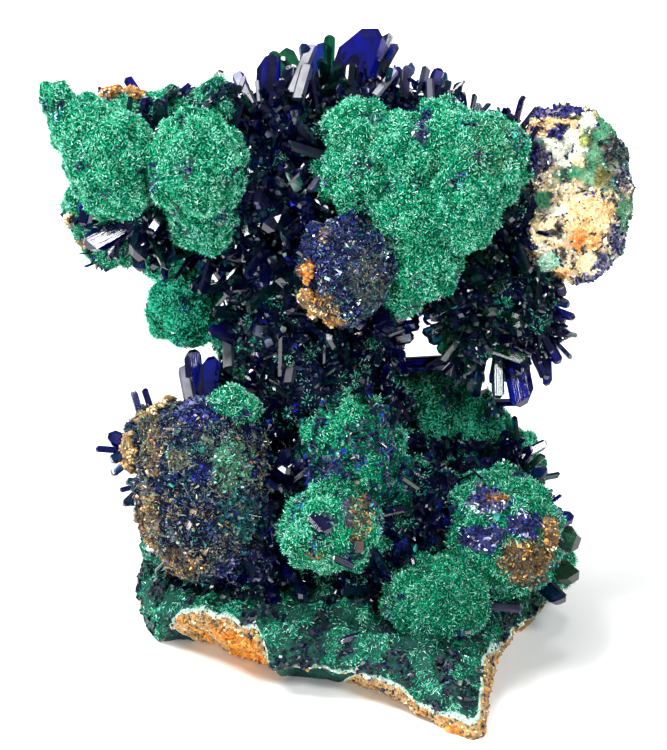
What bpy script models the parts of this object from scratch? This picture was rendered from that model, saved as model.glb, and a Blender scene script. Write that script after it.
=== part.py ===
"""Azurite and malachite specimen, about 60 mm wide, grown as one piece.

A wavy limonite crust carries a lower mass of round malachite and azurite balls. A narrow waist joins it
to a wider upper mass, which is crowned and hung with flat azurite blades. The whole is one closed solid,
and it rests on the flat underside of the crust.
"""

import bmesh
import bpy
import numpy as np
from mathutils import Matrix

MM = 0.001

# All sizes are in millimetres until the finished mesh is put into metres.
# A growth is placed as it is seen from the front: how far right, how far up the view and how near,
# for a viewer who looks down on the specimen by VIEW_TILT degrees. The point at 0, 0, 0 is the middle
# of the underside, where the specimen's own frame has its origin.
VIEW_TILT = 30.0

# The lumps and the crust are fused on a grid of this size, and then thinned to this many triangles.
FUSE_SIZE = 0.55
BODY_TRIANGLES = 4500

# The lumps' relief: how far apart its swells are, how high they are as a share of the lump's size, and
# the half size above which they no longer grow with it.
RELIEF_SIZE = 3.2
RELIEF_SHARE = 0.09
RELIEF_FULL_SIZE = 4.0
WAVE_COUNT = 14
WAVE_STRENGTH = 0.6

# Round growths: right, up, near, half width, half height, half depth.
LUMPS = {
    "left_cone": (
        (-22.3, 46.0, 12.0, 5.0, 5.2, 4.8),
        (-21.6, 42.8, 12.0, 4.0, 3.4, 4.2),
        (-25.0, 48.8, 12.0, 3.6, 3.6, 3.3),
        (-27.4, 51.8, 12.0, 2.2, 2.0, 1.9),
        (-28.4, 52.7, 12.0, 1.3, 1.1, 1.2),
    ),
    "left_ball": (
        (-13.6, 44.9, 13.5, 5.2, 5.9, 5.2),
        (-12.9, 39.6, 11.2, 3.6, 3.3, 3.8),
    ),
    "heart": (
        (2.4, 48.4, 12.0, 3.6, 3.5, 3.6),
        (2.0, 43.8, 12.8, 3.7, 3.9, 3.8),
        (6.6, 46.2, 12.5, 4.4, 4.6, 4.4),
        (10.9, 48.0, 12.0, 4.0, 3.9, 4.0),
        (14.9, 45.6, 12.8, 4.9, 5.1, 4.8),
        (12.4, 40.8, 13.2, 4.7, 4.6, 4.4),
        (7.4, 40.6, 13.2, 4.2, 4.6, 4.2),
        (9.0, 35.6, 12.2, 4.0, 4.2, 3.8),
        (6.8, 32.2, 11.2, 2.3, 2.4, 2.6),
    ),
    "centre_ball": ((1.2, 34.8, 14.0, 5.0, 5.4, 4.7),),
    "right_ball": (
        (24.8, 42.2, 8.0, 5.3, 8.6, 5.6),
        (23.4, 47.2, 8.0, 4.6, 4.2, 4.6),
        (22.7, 38.4, 8.2, 3.8, 4.2, 4.6),
    ),
    "hanging": (
        (15.2, 30.6, 7.5, 4.8, 6.2, 4.0),
        (19.3, 31.0, 7.0, 3.5, 5.0, 3.4),
        (13.0, 35.0, 6.0, 4.0, 4.0, 4.0),
    ),
    "left_under": (
        (-22.2, 38.4, 6.0, 3.8, 3.6, 4.0),
        (-25.4, 41.4, 5.5, 1.9, 2.8, 2.4),
        (-17.5, 36.2, 3.5, 2.8, 2.4, 2.8),
        (-14.9, 31.0, 1.0, 3.8, 4.2, 3.8),
        (-8.6, 28.2, 2.0, 3.9, 3.7, 3.6),
    ),
    "top_knobs": (
        (-11.9, 51.5, 8.0, 3.0, 2.5, 3.0),
        (-16.6, 50.9, 8.5, 2.6, 2.4, 2.6),
        (-21.2, 50.6, 7.0, 2.4, 1.8, 2.4),
    ),
    "upper_core": (
        (-18.5, 44.0, 6.5, 7.5, 7.2, 6.5),
        (-6.0, 43.0, 5.5, 10.5, 8.6, 7.5),
        (8.0, 42.5, 5.5, 11.5, 8.6, 8.0),
        (17.6, 42.0, 5.0, 6.6, 7.2, 5.6),
        (-2.0, 34.0, 5.5, 8.5, 7.0, 7.0),
        (-2.5, 50.4, 5.0, 4.6, 3.2, 3.6),
        (4.2, 51.2, 5.5, 3.4, 3.0, 3.4),
        (9.4, 50.2, 6.0, 2.8, 2.2, 2.8),
    ),
    "waist": (
        (-4.0, 27.5, 4.5, 7.4, 6.5, 6.5),
        (3.4, 28.0, 4.0, 3.8, 5.0, 5.0),
        (-1.5, 22.0, 3.5, 9.0, 6.0, 8.0),
    ),
    "brown_ball": ((-12.9, 13.0, 10.0, 7.2, 9.3, 7.4), (-17.2, 17.4, 8.0, 3.8, 4.2, 4.5)),
    "small_ball": ((-10.1, 21.0, 12.0, 2.8, 2.3, 2.6),),
    "middle_ball": ((1.9, 16.4, 11.0, 5.6, 6.4, 5.2), (4.6, 13.8, 11.5, 3.6, 4.4, 3.6)),
    "bean": ((-0.7, 8.8, 14.0, 4.6, 4.4, 4.1), (2.0, 8.8, 13.6, 3.4, 3.9, 3.6)),
    "right_low_ball": ((16.8, 8.5, 10.0, 6.2, 6.6, 6.2), (20.3, 7.6, 7.6, 2.8, 4.8, 4.2)),
    "low_ball": ((10.2, 1.6, 13.0, 5.2, 4.9, 5.0),),
    "right_back": (
        (11.4, 21.4, -1.0, 4.8, 4.6, 4.8),
        (14.7, 18.1, -1.5, 4.0, 3.9, 4.8),
        (18.2, 14.4, -1.0, 3.4, 4.6, 4.6),
        (21.6, 5.4, 2.0, 2.8, 3.6, 3.6),
    ),
    "lower_core": (
        (-8.0, 9.5, 5.0, 9.5, 8.0, 8.0),
        (6.0, 8.5, 5.0, 11.0, 8.0, 8.0),
        (14.0, 10.0, 1.0, 8.0, 8.0, 7.5),
        (2.0, 14.5, -3.5, 12.5, 7.5, 8.0),
        (-11.0, 13.0, -3.0, 7.0, 7.0, 7.0),
    ),
    "back": (
        (-13.5, 43.0, 2.0, 5.4, 5.0, 4.8),
        (-6.0, 46.4, 1.5, 4.2, 4.2, 4.4),
        (3.0, 43.6, 0.0, 5.2, 4.8, 4.6),
        (10.5, 46.0, 1.0, 5.0, 4.6, 4.6),
        (18.6, 42.5, 2.0, 4.8, 5.4, 4.6),
        (4.5, 35.6, 0.5, 5.0, 4.8, 5.0),
        (-4.5, 36.4, 0.0, 3.8, 3.8, 3.8),
        (-7.0, 21.0, -4.5, 5.4, 5.2, 5.0),
        (6.5, 20.5, -6.5, 5.6, 5.2, 5.0),
    ),
}

# The ball at the upper right is broken open: its front is a rough face square to this direction.
BREAK_TOWARDS = (-0.34, -0.05, 0.94)
BREAK_DEPTH = 3.6
BREAK_ROUGHNESS = 0.35
BREAK_GRAIN = 1.6
BREAK_SEED = 5

# The crust's edge, in the specimen's own frame: right, back, top height, underside height.
# An underside above 0 is a hollow arch below the edge.
CRUST_EDGE = (
    (14.4, -23.4, 1.5, -1.0),
    (9.4, -20.4, 2.0, 0.6),
    (5.2, -17.5, 3.5, 1.8),
    (1.2, -16.1, 3.9, 3.0),
    (-2.9, -15.1, 4.0, 3.2),
    (-5.9, -14.5, 4.0, 2.5),
    (-7.4, -12.9, 6.1, 3.4),
    (-11.1, -10.5, 6.3, 3.9),
    (-15.2, -7.2, 4.6, 3.4),
    (-18.0, -4.2, 2.8, -1.0),
    (-19.4, 1.5, 3.4, 0.8),
    (-18.4, 7.5, 4.2, 1.0),
    (-19.2, 13.0, 2.6, -1.0),
    (-13.5, 15.6, 4.6, 1.4),
    (-9.0, 20.4, 2.8, -1.0),
    (-2.0, 19.4, 5.0, 2.2),
    (4.2, 22.8, 3.2, 0.6),
    (9.6, 19.2, 5.0, 2.0),
    (15.6, 19.6, 2.6, -1.0),
    (18.6, 12.2, 4.4, 1.2),
    (22.0, 4.6, 3.0, -1.0),
    (17.2, -7.3, 2.8, 0.8),
    (15.6, -15.5, 2.6, 0.9),
)
CRUST_MIDDLE = (1.0, 2.0)
CRUST_TOP = 7.5
CRUST_BOTTOM = -2.5
CRUST_RINGS = 22
CRUST_POINTS_PER_EDGE = 7
CRUST_RELIEF = 0.5
CRUST_RELIEF_SIZE = 3.0
CRUST_SEEDS = (21, 22)

# The hollow under the edge reaches inwards to this share of the way from the middle.
HOLLOW_FROM = 0.74
HOLLOW_CURVE = 1.5

# Blades that stand out singly: root and tip as right, up, near, then the blade's width and its sort.
PLAIN, BRIGHT, GREEN, FACING = 0, 1, 2, 3
BLADES = (
    (1.4, 52.2, 5.8, 3.7, 59.0, 6.2, 4.7, FACING),
    (4.0, 52.2, 6.8, 5.4, 55.9, 6.8, 1.4, PLAIN),
    (-0.5, 53.4, 5.0, -0.3, 58.4, 5.0, 1.4, GREEN),
    (-4.1, 52.4, 9.4, -2.0, 57.4, 6.8, 1.4, BRIGHT),
    (-3.5, 51.8, 10.4, -2.5, 55.4, 8.4, 1.4, BRIGHT),
    (-1.6, 51.4, 6.6, -1.2, 57.6, 6.2, 2.1, FACING),
    (-1.7, 50.4, 9.0, -2.3, 54.0, 9.6, 1.3, PLAIN),
    (-4.7, 51.2, 7.8, -4.5, 55.2, 8.4, 1.4, PLAIN),
    (-6.6, 51.0, 7.4, -6.4, 56.3, 7.2, 2.4, FACING),
    (-4.7, 52.6, 4.6, -4.3, 57.0, 4.4, 2.3, GREEN),
    (-6.2, 52.6, 4.4, -5.8, 56.8, 4.2, 1.6, GREEN),
    (-8.2, 51.2, 9.2, -9.7, 54.6, 6.4, 1.3, BRIGHT),
    (-8.4, 51.0, 8.8, -10.6, 53.4, 9.6, 1.2, PLAIN),
    (4.2, 52.2, 9.2, 6.4, 54.9, 8.2, 1.0, BRIGHT),
    (6.4, 51.4, 6.8, 6.5, 55.2, 6.6, 0.9, PLAIN),
    (7.2, 51.4, 6.6, 7.4, 55.3, 6.4, 0.9, BRIGHT),
    (8.4, 51.0, 7.0, 9.4, 55.2, 6.6, 1.3, PLAIN),
    (9.4, 51.8, 7.0, 10.7, 55.0, 7.2, 1.4, PLAIN),
    (9.8, 50.6, 8.6, 9.7, 54.0, 7.4, 0.9, BRIGHT),
    (10.0, 50.6, 8.0, 12.1, 52.6, 8.6, 1.3, PLAIN),
    (-16.2, 49.2, 9.0, -19.2, 51.6, 10.6, 1.9, FACING),
    (-16.8, 50.0, 10.0, -16.9, 51.8, 11.4, 0.9, BRIGHT),
    (-12.6, 50.0, 10.4, -12.8, 51.4, 11.8, 0.9, BRIGHT),
    (-0.6, 46.0, 11.4, -4.5, 47.2, 13.8, 1.3, BRIGHT),
    (-1.2, 46.6, 10.4, -3.4, 48.0, 13.0, 1.5, PLAIN),
    (-0.9, 44.6, 12.4, -2.4, 42.5, 14.2, 0.9, BRIGHT),
    (-2.6, 42.4, 10.0, -6.8, 38.6, 13.6, 2.3, PLAIN),
    (-5.0, 45.0, 10.0, -8.2, 47.6, 13.5, 1.5, PLAIN),
    (-7.4, 44.2, 11.4, -7.6, 41.2, 13.6, 0.9, BRIGHT),
    (-7.8, 43.8, 11.4, -8.7, 41.4, 13.2, 0.8, BRIGHT),
    (-19.8, 39.8, 9.2, -24.6, 37.0, 11.2, 2.4, FACING),
    (-18.4, 39.8, 10.0, -19.7, 35.8, 11.6, 2.4, PLAIN),
    (-20.4, 38.6, 8.8, -22.6, 35.9, 10.0, 1.2, PLAIN),
    (-10.4, 25.0, 9.4, -10.6, 29.6, 6.3, 1.2, BRIGHT),
    (-13.6, 20.6, 9.0, -14.1, 26.8, 8.0, 1.9, PLAIN),
    (-14.2, 21.4, 10.4, -15.0, 25.2, 7.6, 1.3, BRIGHT),
    (-12.8, 20.6, 9.6, -12.2, 26.1, 9.8, 1.9, FACING),
    (-5.6, 23.0, 8.0, -5.7, 29.0, 10.0, 1.9, PLAIN),
    (-5.0, 23.0, 9.0, -4.9, 28.5, 11.5, 1.3, PLAIN),
    (-4.5, 23.4, 11.0, -3.7, 27.6, 8.5, 1.2, BRIGHT),
    (-18.8, 18.6, 8.0, -20.0, 22.7, 8.4, 0.8, PLAIN),
    (-17.8, 19.6, 8.0, -18.9, 22.9, 8.6, 0.9, PLAIN),
    (-19.6, 17.0, 8.6, -22.5, 18.2, 9.4, 1.6, PLAIN),
    (-19.8, 16.6, 9.2, -23.7, 16.9, 10.0, 0.9, PLAIN),
    (-19.6, 16.8, 9.8, -22.3, 15.7, 11.0, 1.1, PLAIN),
    (-19.4, 16.6, 9.2, -22.2, 14.4, 9.8, 1.2, PLAIN),
    (-18.8, 13.4, 9.6, -21.3, 12.7, 9.8, 0.7, PLAIN),
    (-18.6, 13.4, 9.8, -20.9, 11.2, 10.4, 0.9, PLAIN),
    (18.0, 27.0, 7.8, 19.1, 21.2, 8.6, 2.6, FACING),
    (15.5, 27.5, 9.0, 14.5, 22.4, 10.0, 1.8, PLAIN),
    (16.4, 27.5, 9.0, 16.5, 21.9, 10.0, 1.4, PLAIN),
    (14.4, 26.5, 8.5, 13.7, 22.6, 9.0, 0.9, BRIGHT),
    (19.4, 28.0, 7.6, 21.3, 23.8, 8.6, 1.4, PLAIN),
    (20.6, 29.0, 7.0, 22.7, 25.4, 8.0, 1.2, PLAIN),
    (20.8, 30.2, 7.2, 23.7, 28.2, 8.0, 0.9, PLAIN),
    (20.8, 31.6, 7.4, 23.3, 29.5, 8.2, 1.2, PLAIN),
    (20.6, 32.6, 7.2, 23.7, 31.2, 7.8, 1.1, PLAIN),
    (21.0, 33.8, 7.2, 23.3, 32.3, 8.0, 1.5, PLAIN),
    (12.6, 30.0, 8.6, 10.6, 26.4, 9.6, 1.5, PLAIN),
    (13.6, 32.0, 8.5, 9.8, 29.8, 9.5, 1.4, PLAIN),
    (18.4, 12.2, 8.4, 21.2, 15.1, 9.5, 1.4, FACING),
    (20.8, 8.9, 9.2, 23.9, 10.4, 9.5, 1.8, FACING),
    (20.4, 8.2, 8.2, 24.7, 7.4, 8.4, 3.2, GREEN),
    (20.8, 6.4, 7.4, 24.3, 3.6, 8.5, 2.8, GREEN),
    (20.4, 4.0, 6.5, 23.0, 1.4, 8.0, 1.8, PLAIN),
    (13.6, 1.4, 12.0, 18.8, 0.9, 12.6, 0.9, BRIGHT),
    (4.4, -0.4, 11.0, 0.6, -1.8, 13.4, 1.5, PLAIN),
)
BLADE_FLATNESS = 0.42
BLADE_SEED = 7

# Fans of smaller azurite blades: centre as right, up, near, then the way they point, how widely they
# open in degrees, how many there are, and the shortest and longest blade.
FANS = (
    (-3.0, 49.4, 6.6, -0.2, 1.0, 0.3, 50, 10, 3.6, 4.6),
    (5.5, 49.4, 6.6, 0.2, 1.0, 0.2, 50, 7, 3.4, 4.4),
    (-4.5, 47.0, 9.5, -0.1, 0.4, 1.0, 40, 6, 4.6, 5.4),
    (-4.8, 42.2, 10.0, -0.1, 0.0, 1.0, 44, 7, 4.6, 5.6),
    (-6.0, 36.4, 9.5, -0.3, -0.2, 1.0, 44, 6, 4.4, 5.4),
    (15.6, 30.8, 8.0, 0.0, -0.5, 1.0, 52, 12, 4.6, 5.8),
    (18.6, 30.6, 7.5, 0.3, -0.6, 0.9, 40, 5, 4.0, 4.8),
    (-7.5, 23.4, 8.0, 0.0, 0.8, 0.6, 36, 5, 4.6, 5.6),
    (-6.2, 13.0, 11.0, 0.3, 0.2, 1.0, 40, 5, 4.4, 5.6),
    (-6.0, 5.5, 11.0, 0.0, -0.5, 1.0, 44, 5, 4.4, 5.2),
    (5.5, 4.5, 12.0, 0.0, 0.0, 1.0, 40, 4, 4.4, 5.2),
    (-9.0, 46.0, 0.0, -0.2, 0.3, -1.0, 40, 6, 5.0, 6.2),
    (6.5, 42.0, 0.0, 0.1, 0.1, -1.0, 44, 7, 5.4, 6.8),
    (12.0, 33.5, 3.5, 0.6, -0.6, -0.6, 40, 6, 6.2, 7.4),
    (-0.5, 18.5, -5.5, 0.0, 0.5, -1.0, 44, 6, 5.2, 6.6),
)
FAN_WIDTH_SHARE = 0.24
FAN_WIDTH_SPREAD = 0.25
FAN_ROOT_SPREAD = 0.9
FAN_FLATNESS = 0.5
FAN_SEED = 11
FAN_SHAPE_SEED = 8

# A six-sided blade narrows to SHOULDER of its half width. Its roof falls by ROOF_SLOPE to its broad faces
# and by END_SLOPE to its edges, and is skewed by up to MOST_SKEW. A plain or green blade is rolled by up to
# MOST_ROLL radians from facing ROLL_FROM. A facing blade isn't rolled, and its roof falls to its left. A
# bright blade faces BRIGHT_FROM.
SHOULDER = 0.62
ROOF_SLOPE = 0.85
END_SLOPE = 1.25
MOST_SKEW = 0.35
MOST_ROLL = 0.9
ROLL_FROM = (0.05, 0.1, 1.0)
BRIGHT_FROM = (-0.29, 0.53, 0.8)

# A blade's faces as corner numbers: the base ring comes first, then the ring under the roof, then the
# ridge's two ends.
SIX_SIDED_FACES = (
    *((corner, (corner + 1) % 6, (corner + 1) % 6 + 6, corner + 6) for corner in range(6)),
    (7, 8, 13, 12),
    (10, 11, 12, 13),
    (11, 6, 7, 12),
    (8, 9, 10, 13),
    (5, 4, 3, 2, 1, 0),
)
FOUR_SIDED_FACES = (
    *((corner, (corner + 1) % 4, (corner + 1) % 4 + 4, corner + 4) for corner in range(4)),
    (4, 5, 9, 8),
    (6, 7, 8, 9),
    (7, 4, 8),
    (5, 6, 9),
    (3, 2, 1, 0),
)

FLOOR_CUTTER_SIZE = 80.0
FLOOR_CUTTER_DEPTH = 12.0

MALACHITE_GREEN = (0.01, 0.22, 0.11, 1.0)
MALACHITE_ROUGHNESS = 0.6


def seen(points):
    """Points given as right, up, near, turned into the specimen's frame by the tilt of the view."""
    tilt = np.radians(VIEW_TILT)
    right, up, near = np.moveaxis(np.asarray(points, dtype=float), -1, 0)
    back = up * np.sin(tilt) - near * np.cos(tilt)
    height = up * np.cos(tilt) + near * np.sin(tilt)
    return np.stack([right, back, height], axis=-1)


def waves(points, size, seed):
    """A smooth relief between about -1 and 1: the mean of sine waves that cross in random directions."""
    rng = np.random.default_rng(seed)
    ways = rng.normal(size=(3, WAVE_COUNT))
    ways /= np.linalg.norm(ways, axis=0)
    phases = rng.uniform(0.0, 2.0 * np.pi, WAVE_COUNT)
    swings = np.sin(points @ ways * (2.0 * np.pi / size) + phases)
    return swings.sum(axis=-1) * np.sqrt(2.0 / WAVE_COUNT) * WAVE_STRENGTH


def mesh_object(name, points, faces):
    mesh = bpy.data.meshes.new(name)
    mesh.from_pydata([tuple(point) for point in points], [], [tuple(face) for face in faces])
    obj = bpy.data.objects.new(name, mesh)
    bpy.context.scene.collection.objects.link(obj)
    return obj


def unit_ball():
    """The points and triangles of a ball of radius 1."""
    ball = bmesh.new()
    bmesh.ops.create_icosphere(ball, subdivisions=4, radius=1.0)
    points = np.array([vert.co[:] for vert in ball.verts])
    faces = np.array([[vert.index for vert in face.verts] for face in ball.faces])
    ball.free()
    return points, faces


def broken(points, middle):
    """Points in front of the break are pressed back onto its rough face."""
    towards = np.array(BREAK_TOWARDS) / np.linalg.norm(BREAK_TOWARDS)
    face = BREAK_DEPTH + BREAK_ROUGHNESS * waves(points, BREAK_GRAIN, BREAK_SEED)
    proud = np.maximum((points - middle) @ towards - face, 0.0)
    return points - proud[:, None] * towards


def lumps():
    """Each lump is a ball stretched to its half sizes, with a relief in step with its size."""
    ball, ball_faces = unit_ball()
    points = []
    faces = []
    for group, growths in LUMPS.items():
        for growth in growths:
            middle = np.array(growth[:3])
            sizes = np.array(growth[3:])
            swell = RELIEF_SHARE * min(1.0, RELIEF_FULL_SIZE / sizes.mean())
            relief = swell * waves(middle + ball * sizes, RELIEF_SIZE, len(points))
            skin = middle + ball * sizes * (1.0 + relief[:, None])
            if group == "right_ball":
                skin = broken(skin, middle)
            faces.append(ball_faces + len(ball) * len(points))
            points.append(seen(skin))
    return mesh_object("lumps", np.concatenate(points), np.concatenate(faces))


def around(edge, per_edge):
    """A smooth closed line through the edge's points: each stretch is a Catmull-Rom cubic."""
    before, start, end, after = (np.roll(edge, shift, axis=0)[:, None, :] for shift in (1, 0, -1, -2))
    share = (np.arange(per_edge) / per_edge)[None, :, None]
    line = 0.5 * (
        2.0 * start
        + (end - before) * share
        + (2.0 * before - 5.0 * start + 4.0 * end - after) * share**2
        + (3.0 * start - before - 3.0 * end + after) * share**3
    )
    return line.reshape(-1, edge.shape[1])


def crust():
    """A closed crust: rings shrink from its edge to its middle, on its top and again on its underside.

    The top swells from the edge's height to CRUST_TOP. The underside falls from the edge's own height to
    CRUST_BOTTOM at HOLLOW_FROM of the way out, so the edge arches over a hollow.
    """
    line = around(np.array(CRUST_EDGE), CRUST_POINTS_PER_EDGE)
    middle = np.array(CRUST_MIDDLE)
    share = (np.arange(CRUST_RINGS, 0, -1) / CRUST_RINGS)[:, None]
    flat = middle + share[..., None] * (line[:, :2] - middle)
    top = line[:, 2] + (CRUST_TOP - line[:, 2]) * np.sqrt(1.0 - share**2)
    inward = np.clip((1.0 - share) / (1.0 - HOLLOW_FROM), 0.0, 1.0)
    below = line[:, 3] + (CRUST_BOTTOM - line[:, 3]) * inward**HOLLOW_CURVE
    layers = []
    for height, seed in zip((top, below), CRUST_SEEDS):
        layer = np.concatenate([flat, height[..., None]], axis=2)
        layer[..., 2] += CRUST_RELIEF * waves(layer, CRUST_RELIEF_SIZE, seed)
        layers.append(layer.reshape(-1, 3))
    hubs = np.array([(*middle, CRUST_TOP), (*middle, CRUST_BOTTOM)])
    above = np.arange(flat[..., 0].size).reshape(flat.shape[:2])
    under = above + above.size
    top_hub = 2 * above.size
    following = np.roll(above, -1, axis=1)
    following_under = following + above.size
    faces = [
        *np.stack([above[:-1], following[:-1], following[1:], above[1:]], axis=-1).reshape(-1, 4),
        *np.stack([under[1:], following_under[1:], following_under[:-1], under[:-1]], axis=-1).reshape(-1, 4),
        *np.stack([above[0], under[0], following_under[0], following[0]], axis=-1),
        *((*pair, top_hub) for pair in zip(above[-1], following[-1])),
        *((*pair, top_hub + 1) for pair in zip(following_under[-1], under[-1])),
    ]
    return mesh_object("crust", np.concatenate([*layers, hubs]), faces)


def fan_blades():
    """Roots, tips and widths of the fans' blades: each points the fan's way, turned by up to its opening."""
    rng = np.random.default_rng(FAN_SEED)
    rows = []
    for *middle, right, up, near, opening, count, shortest, longest in FANS:
        way = np.array((right, up, near)) / np.linalg.norm((right, up, near))
        lean = rng.normal(size=(count, 3))
        lean -= (lean @ way)[:, None] * way
        lean /= np.linalg.norm(lean, axis=1)[:, None]
        turn = np.radians(opening) * np.sqrt(rng.uniform(size=count))[:, None]
        ways = np.cos(turn) * way + np.sin(turn) * lean
        length = rng.uniform(shortest, longest, count)[:, None]
        root = np.array(middle) + rng.normal(scale=FAN_ROOT_SPREAD, size=(count, 3))
        spread = rng.uniform(1.0 - FAN_WIDTH_SPREAD, 1.0 + FAN_WIDTH_SPREAD, (count, 1))
        width = length * FAN_WIDTH_SHARE * spread
        rows.append(np.hstack([root, root + ways * length, width]))
    return np.concatenate(rows)


def crystals(name, rows, sort, flatness, six_sided, seed):
    """Each row makes one flat prism from its root to its tip, with six sides or with four.

    A roof of two slopes and two ends closes it. They meet the sides at their corners, so every face is
    flat. The broad face turns the way that the blade's sort says.
    """
    rng = np.random.default_rng(seed)
    sort = np.broadcast_to(sort, len(rows))[:, None]
    root, tip, width = rows[:, :3], rows[:, 3:6], rows[:, 6]
    count = len(rows)
    axis = tip - root
    length = np.linalg.norm(axis, axis=1)
    axis /= length[:, None]
    level = np.cross(np.where(sort == BRIGHT, np.array(BRIGHT_FROM), np.array(ROLL_FROM)), axis)
    level /= np.linalg.norm(level, axis=1)[:, None]
    roll = rng.uniform(-MOST_ROLL, MOST_ROLL, count)[:, None]
    roll = np.where((sort == BRIGHT) | (sort == FACING), 0.0, roll)
    side = np.cos(roll) * level + np.sin(roll) * np.cross(axis, level)
    depth = np.cross(axis, side)
    half = width / 2.0
    thick = half * flatness
    shoulder = half * (SHOULDER if six_sided else 1.0)
    ridge = shoulder - ROOF_SLOPE * thick / END_SLOPE
    corners = [(1, 1), (-1, 1), (-1, -1), (1, -1)]
    across = [sign * shoulder for sign, _ in corners]
    deep = [sign * thick for _, sign in corners]
    drop = [ROOF_SLOPE * thick] * 4
    if six_sided:
        for place, sign in ((2, -1), (0, 1)):
            across.insert(place, sign * half)
            deep.insert(place, 0.0 * thick)
            drop.insert(place, ROOF_SLOPE * thick + END_SLOPE * (half - shoulder))
    ring = len(across)
    across += [ridge, -ridge]
    deep += [0.0 * thick] * 2
    drop += [0.0 * thick] * 2
    across, deep, drop = (np.stack(part, axis=1) for part in (across, deep, drop))
    skew = rng.uniform(-MOST_SKEW, MOST_SKEW, count)[:, None]
    skew = np.where(sort == FACING, -MOST_SKEW, skew)
    along = np.hstack([np.zeros((count, ring)), length[:, None] - drop + skew * across])[..., None]
    across, deep = (np.hstack([part[:, :ring], part])[..., None] for part in (across, deep))
    points = root[:, None] + across * side[:, None] + deep * depth[:, None] + along * axis[:, None]
    shape = SIX_SIDED_FACES if six_sided else FOUR_SIDED_FACES
    per_crystal = points.shape[1]
    faces = [[corner + per_crystal * number for corner in face] for number in range(count) for face in shape]
    return mesh_object(name, seen(points).reshape(-1, 3), faces)


def modified(obj, kind, **settings):
    """The object's mesh with one modifier applied to it."""
    modifier = obj.modifiers.new(kind, kind)
    for name, value in settings.items():
        setattr(modifier, name, value)
    graph = bpy.context.evaluated_depsgraph_get()
    finished = bpy.data.meshes.new_from_object(obj.evaluated_get(graph))
    obj.modifiers.clear()
    obj.data = finished
    return obj


def merged(name, objects):
    """One object that holds the meshes of all of them, which may still overlap."""
    whole = bmesh.new()
    for obj in objects:
        whole.from_mesh(obj.data)
        bpy.data.objects.remove(obj)
    mesh = bpy.data.meshes.new(name)
    whole.to_mesh(mesh)
    whole.free()
    obj = bpy.data.objects.new(name, mesh)
    bpy.context.scene.collection.objects.link(obj)
    return obj


def largest_shell(obj):
    """Leaves only the mesh's largest closed shell, so no loose chip or sealed hollow stays in it."""
    whole = bmesh.new()
    whole.from_mesh(obj.data)
    left = set(whole.verts)
    largest = set()
    while left:
        shell = set()
        reached = {left.pop()}
        while reached:
            shell |= reached
            reached = {edge.other_vert(vert) for vert in reached for edge in vert.link_edges} & left
            left -= reached
        largest = max(largest, shell, key=len)
    bmesh.ops.delete(whole, geom=[vert for vert in whole.verts if vert not in largest], context="VERTS")
    whole.to_mesh(obj.data)
    whole.free()


def below_floor():
    """A block whose top is the plane of the specimen's underside."""
    bpy.ops.mesh.primitive_cube_add(size=1.0)
    block = bpy.context.object
    block.scale = (FLOOR_CUTTER_SIZE, FLOOR_CUTTER_SIZE, FLOOR_CUTTER_DEPTH)
    block.location.z = -FLOOR_CUTTER_DEPTH / 2.0
    bpy.context.view_layer.update()
    return block


def grown_together():
    """The lumps and crust fused and thinned, joined with the blades, and cut flat at the underside."""
    body = merged("specimen", [lumps(), crust()])
    modified(body, "REMESH", mode="VOXEL", voxel_size=FUSE_SIZE)
    quads = len(body.data.polygons)
    modified(body, "DECIMATE", ratio=BODY_TRIANGLES / (2 * quads))
    rows = np.array(BLADES)
    singles = crystals("single blades", rows[:, :7], rows[:, 7], BLADE_FLATNESS, True, BLADE_SEED)
    fans = crystals("fan blades", fan_blades(), PLAIN, FAN_FLATNESS, False, FAN_SHAPE_SEED)
    blades = merged("blades", [singles, fans])
    modified(body, "BOOLEAN", operation="UNION", solver="EXACT", use_self=True, object=blades)
    floor = below_floor()
    modified(body, "BOOLEAN", operation="DIFFERENCE", solver="EXACT", object=floor)
    for cutter in (blades, floor):
        bpy.data.objects.remove(cutter)
    largest_shell(body)
    body.data.transform(Matrix.Scale(MM, 4))
    return body


def malachite():
    material = bpy.data.materials.new("malachite")
    material.use_nodes = True
    surface = material.node_tree.nodes["Principled BSDF"]
    surface.inputs["Base Color"].default_value = MALACHITE_GREEN
    surface.inputs["Roughness"].default_value = MALACHITE_ROUGHNESS
    surface.inputs["Metallic"].default_value = 0.0
    return material


def main():
    for obj in list(bpy.data.objects):
        bpy.data.objects.remove(obj)
    specimen = grown_together()
    specimen.data.materials.clear()
    specimen.data.materials.append(malachite())


main()
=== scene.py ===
"""The looks of an azurite and malachite specimen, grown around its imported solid.

Each operator makes one kind of growth: the wavy crust, the round balls with their velvet of malachite
needles and their druse of small azurite crystals, the large azurite blades, the broken ball, the limonite
crumbs, and last the stage with its floor, lights and camera.
"""

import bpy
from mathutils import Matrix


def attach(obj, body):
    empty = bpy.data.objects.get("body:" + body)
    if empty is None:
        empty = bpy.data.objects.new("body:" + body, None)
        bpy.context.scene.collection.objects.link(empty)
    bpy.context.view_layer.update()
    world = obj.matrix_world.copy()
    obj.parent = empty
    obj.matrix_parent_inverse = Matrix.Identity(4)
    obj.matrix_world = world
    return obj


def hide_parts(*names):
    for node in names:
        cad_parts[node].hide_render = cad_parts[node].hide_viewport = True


bl_info = {
    "name": "Azurite and malachite specimen",
    "version": (1, 0, 0),
    "blender": (4, 5, 0),
    "location": "3D View > Sidebar > Specimen",
    "description": "Grows the balls, blades, velvet and crust of a mineral specimen around its solid",
    "category": "Object",
}

import bpy
import numpy as np
from bpy.props import FloatProperty, FloatVectorProperty, IntProperty, PointerProperty
from mathutils import Vector

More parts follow.
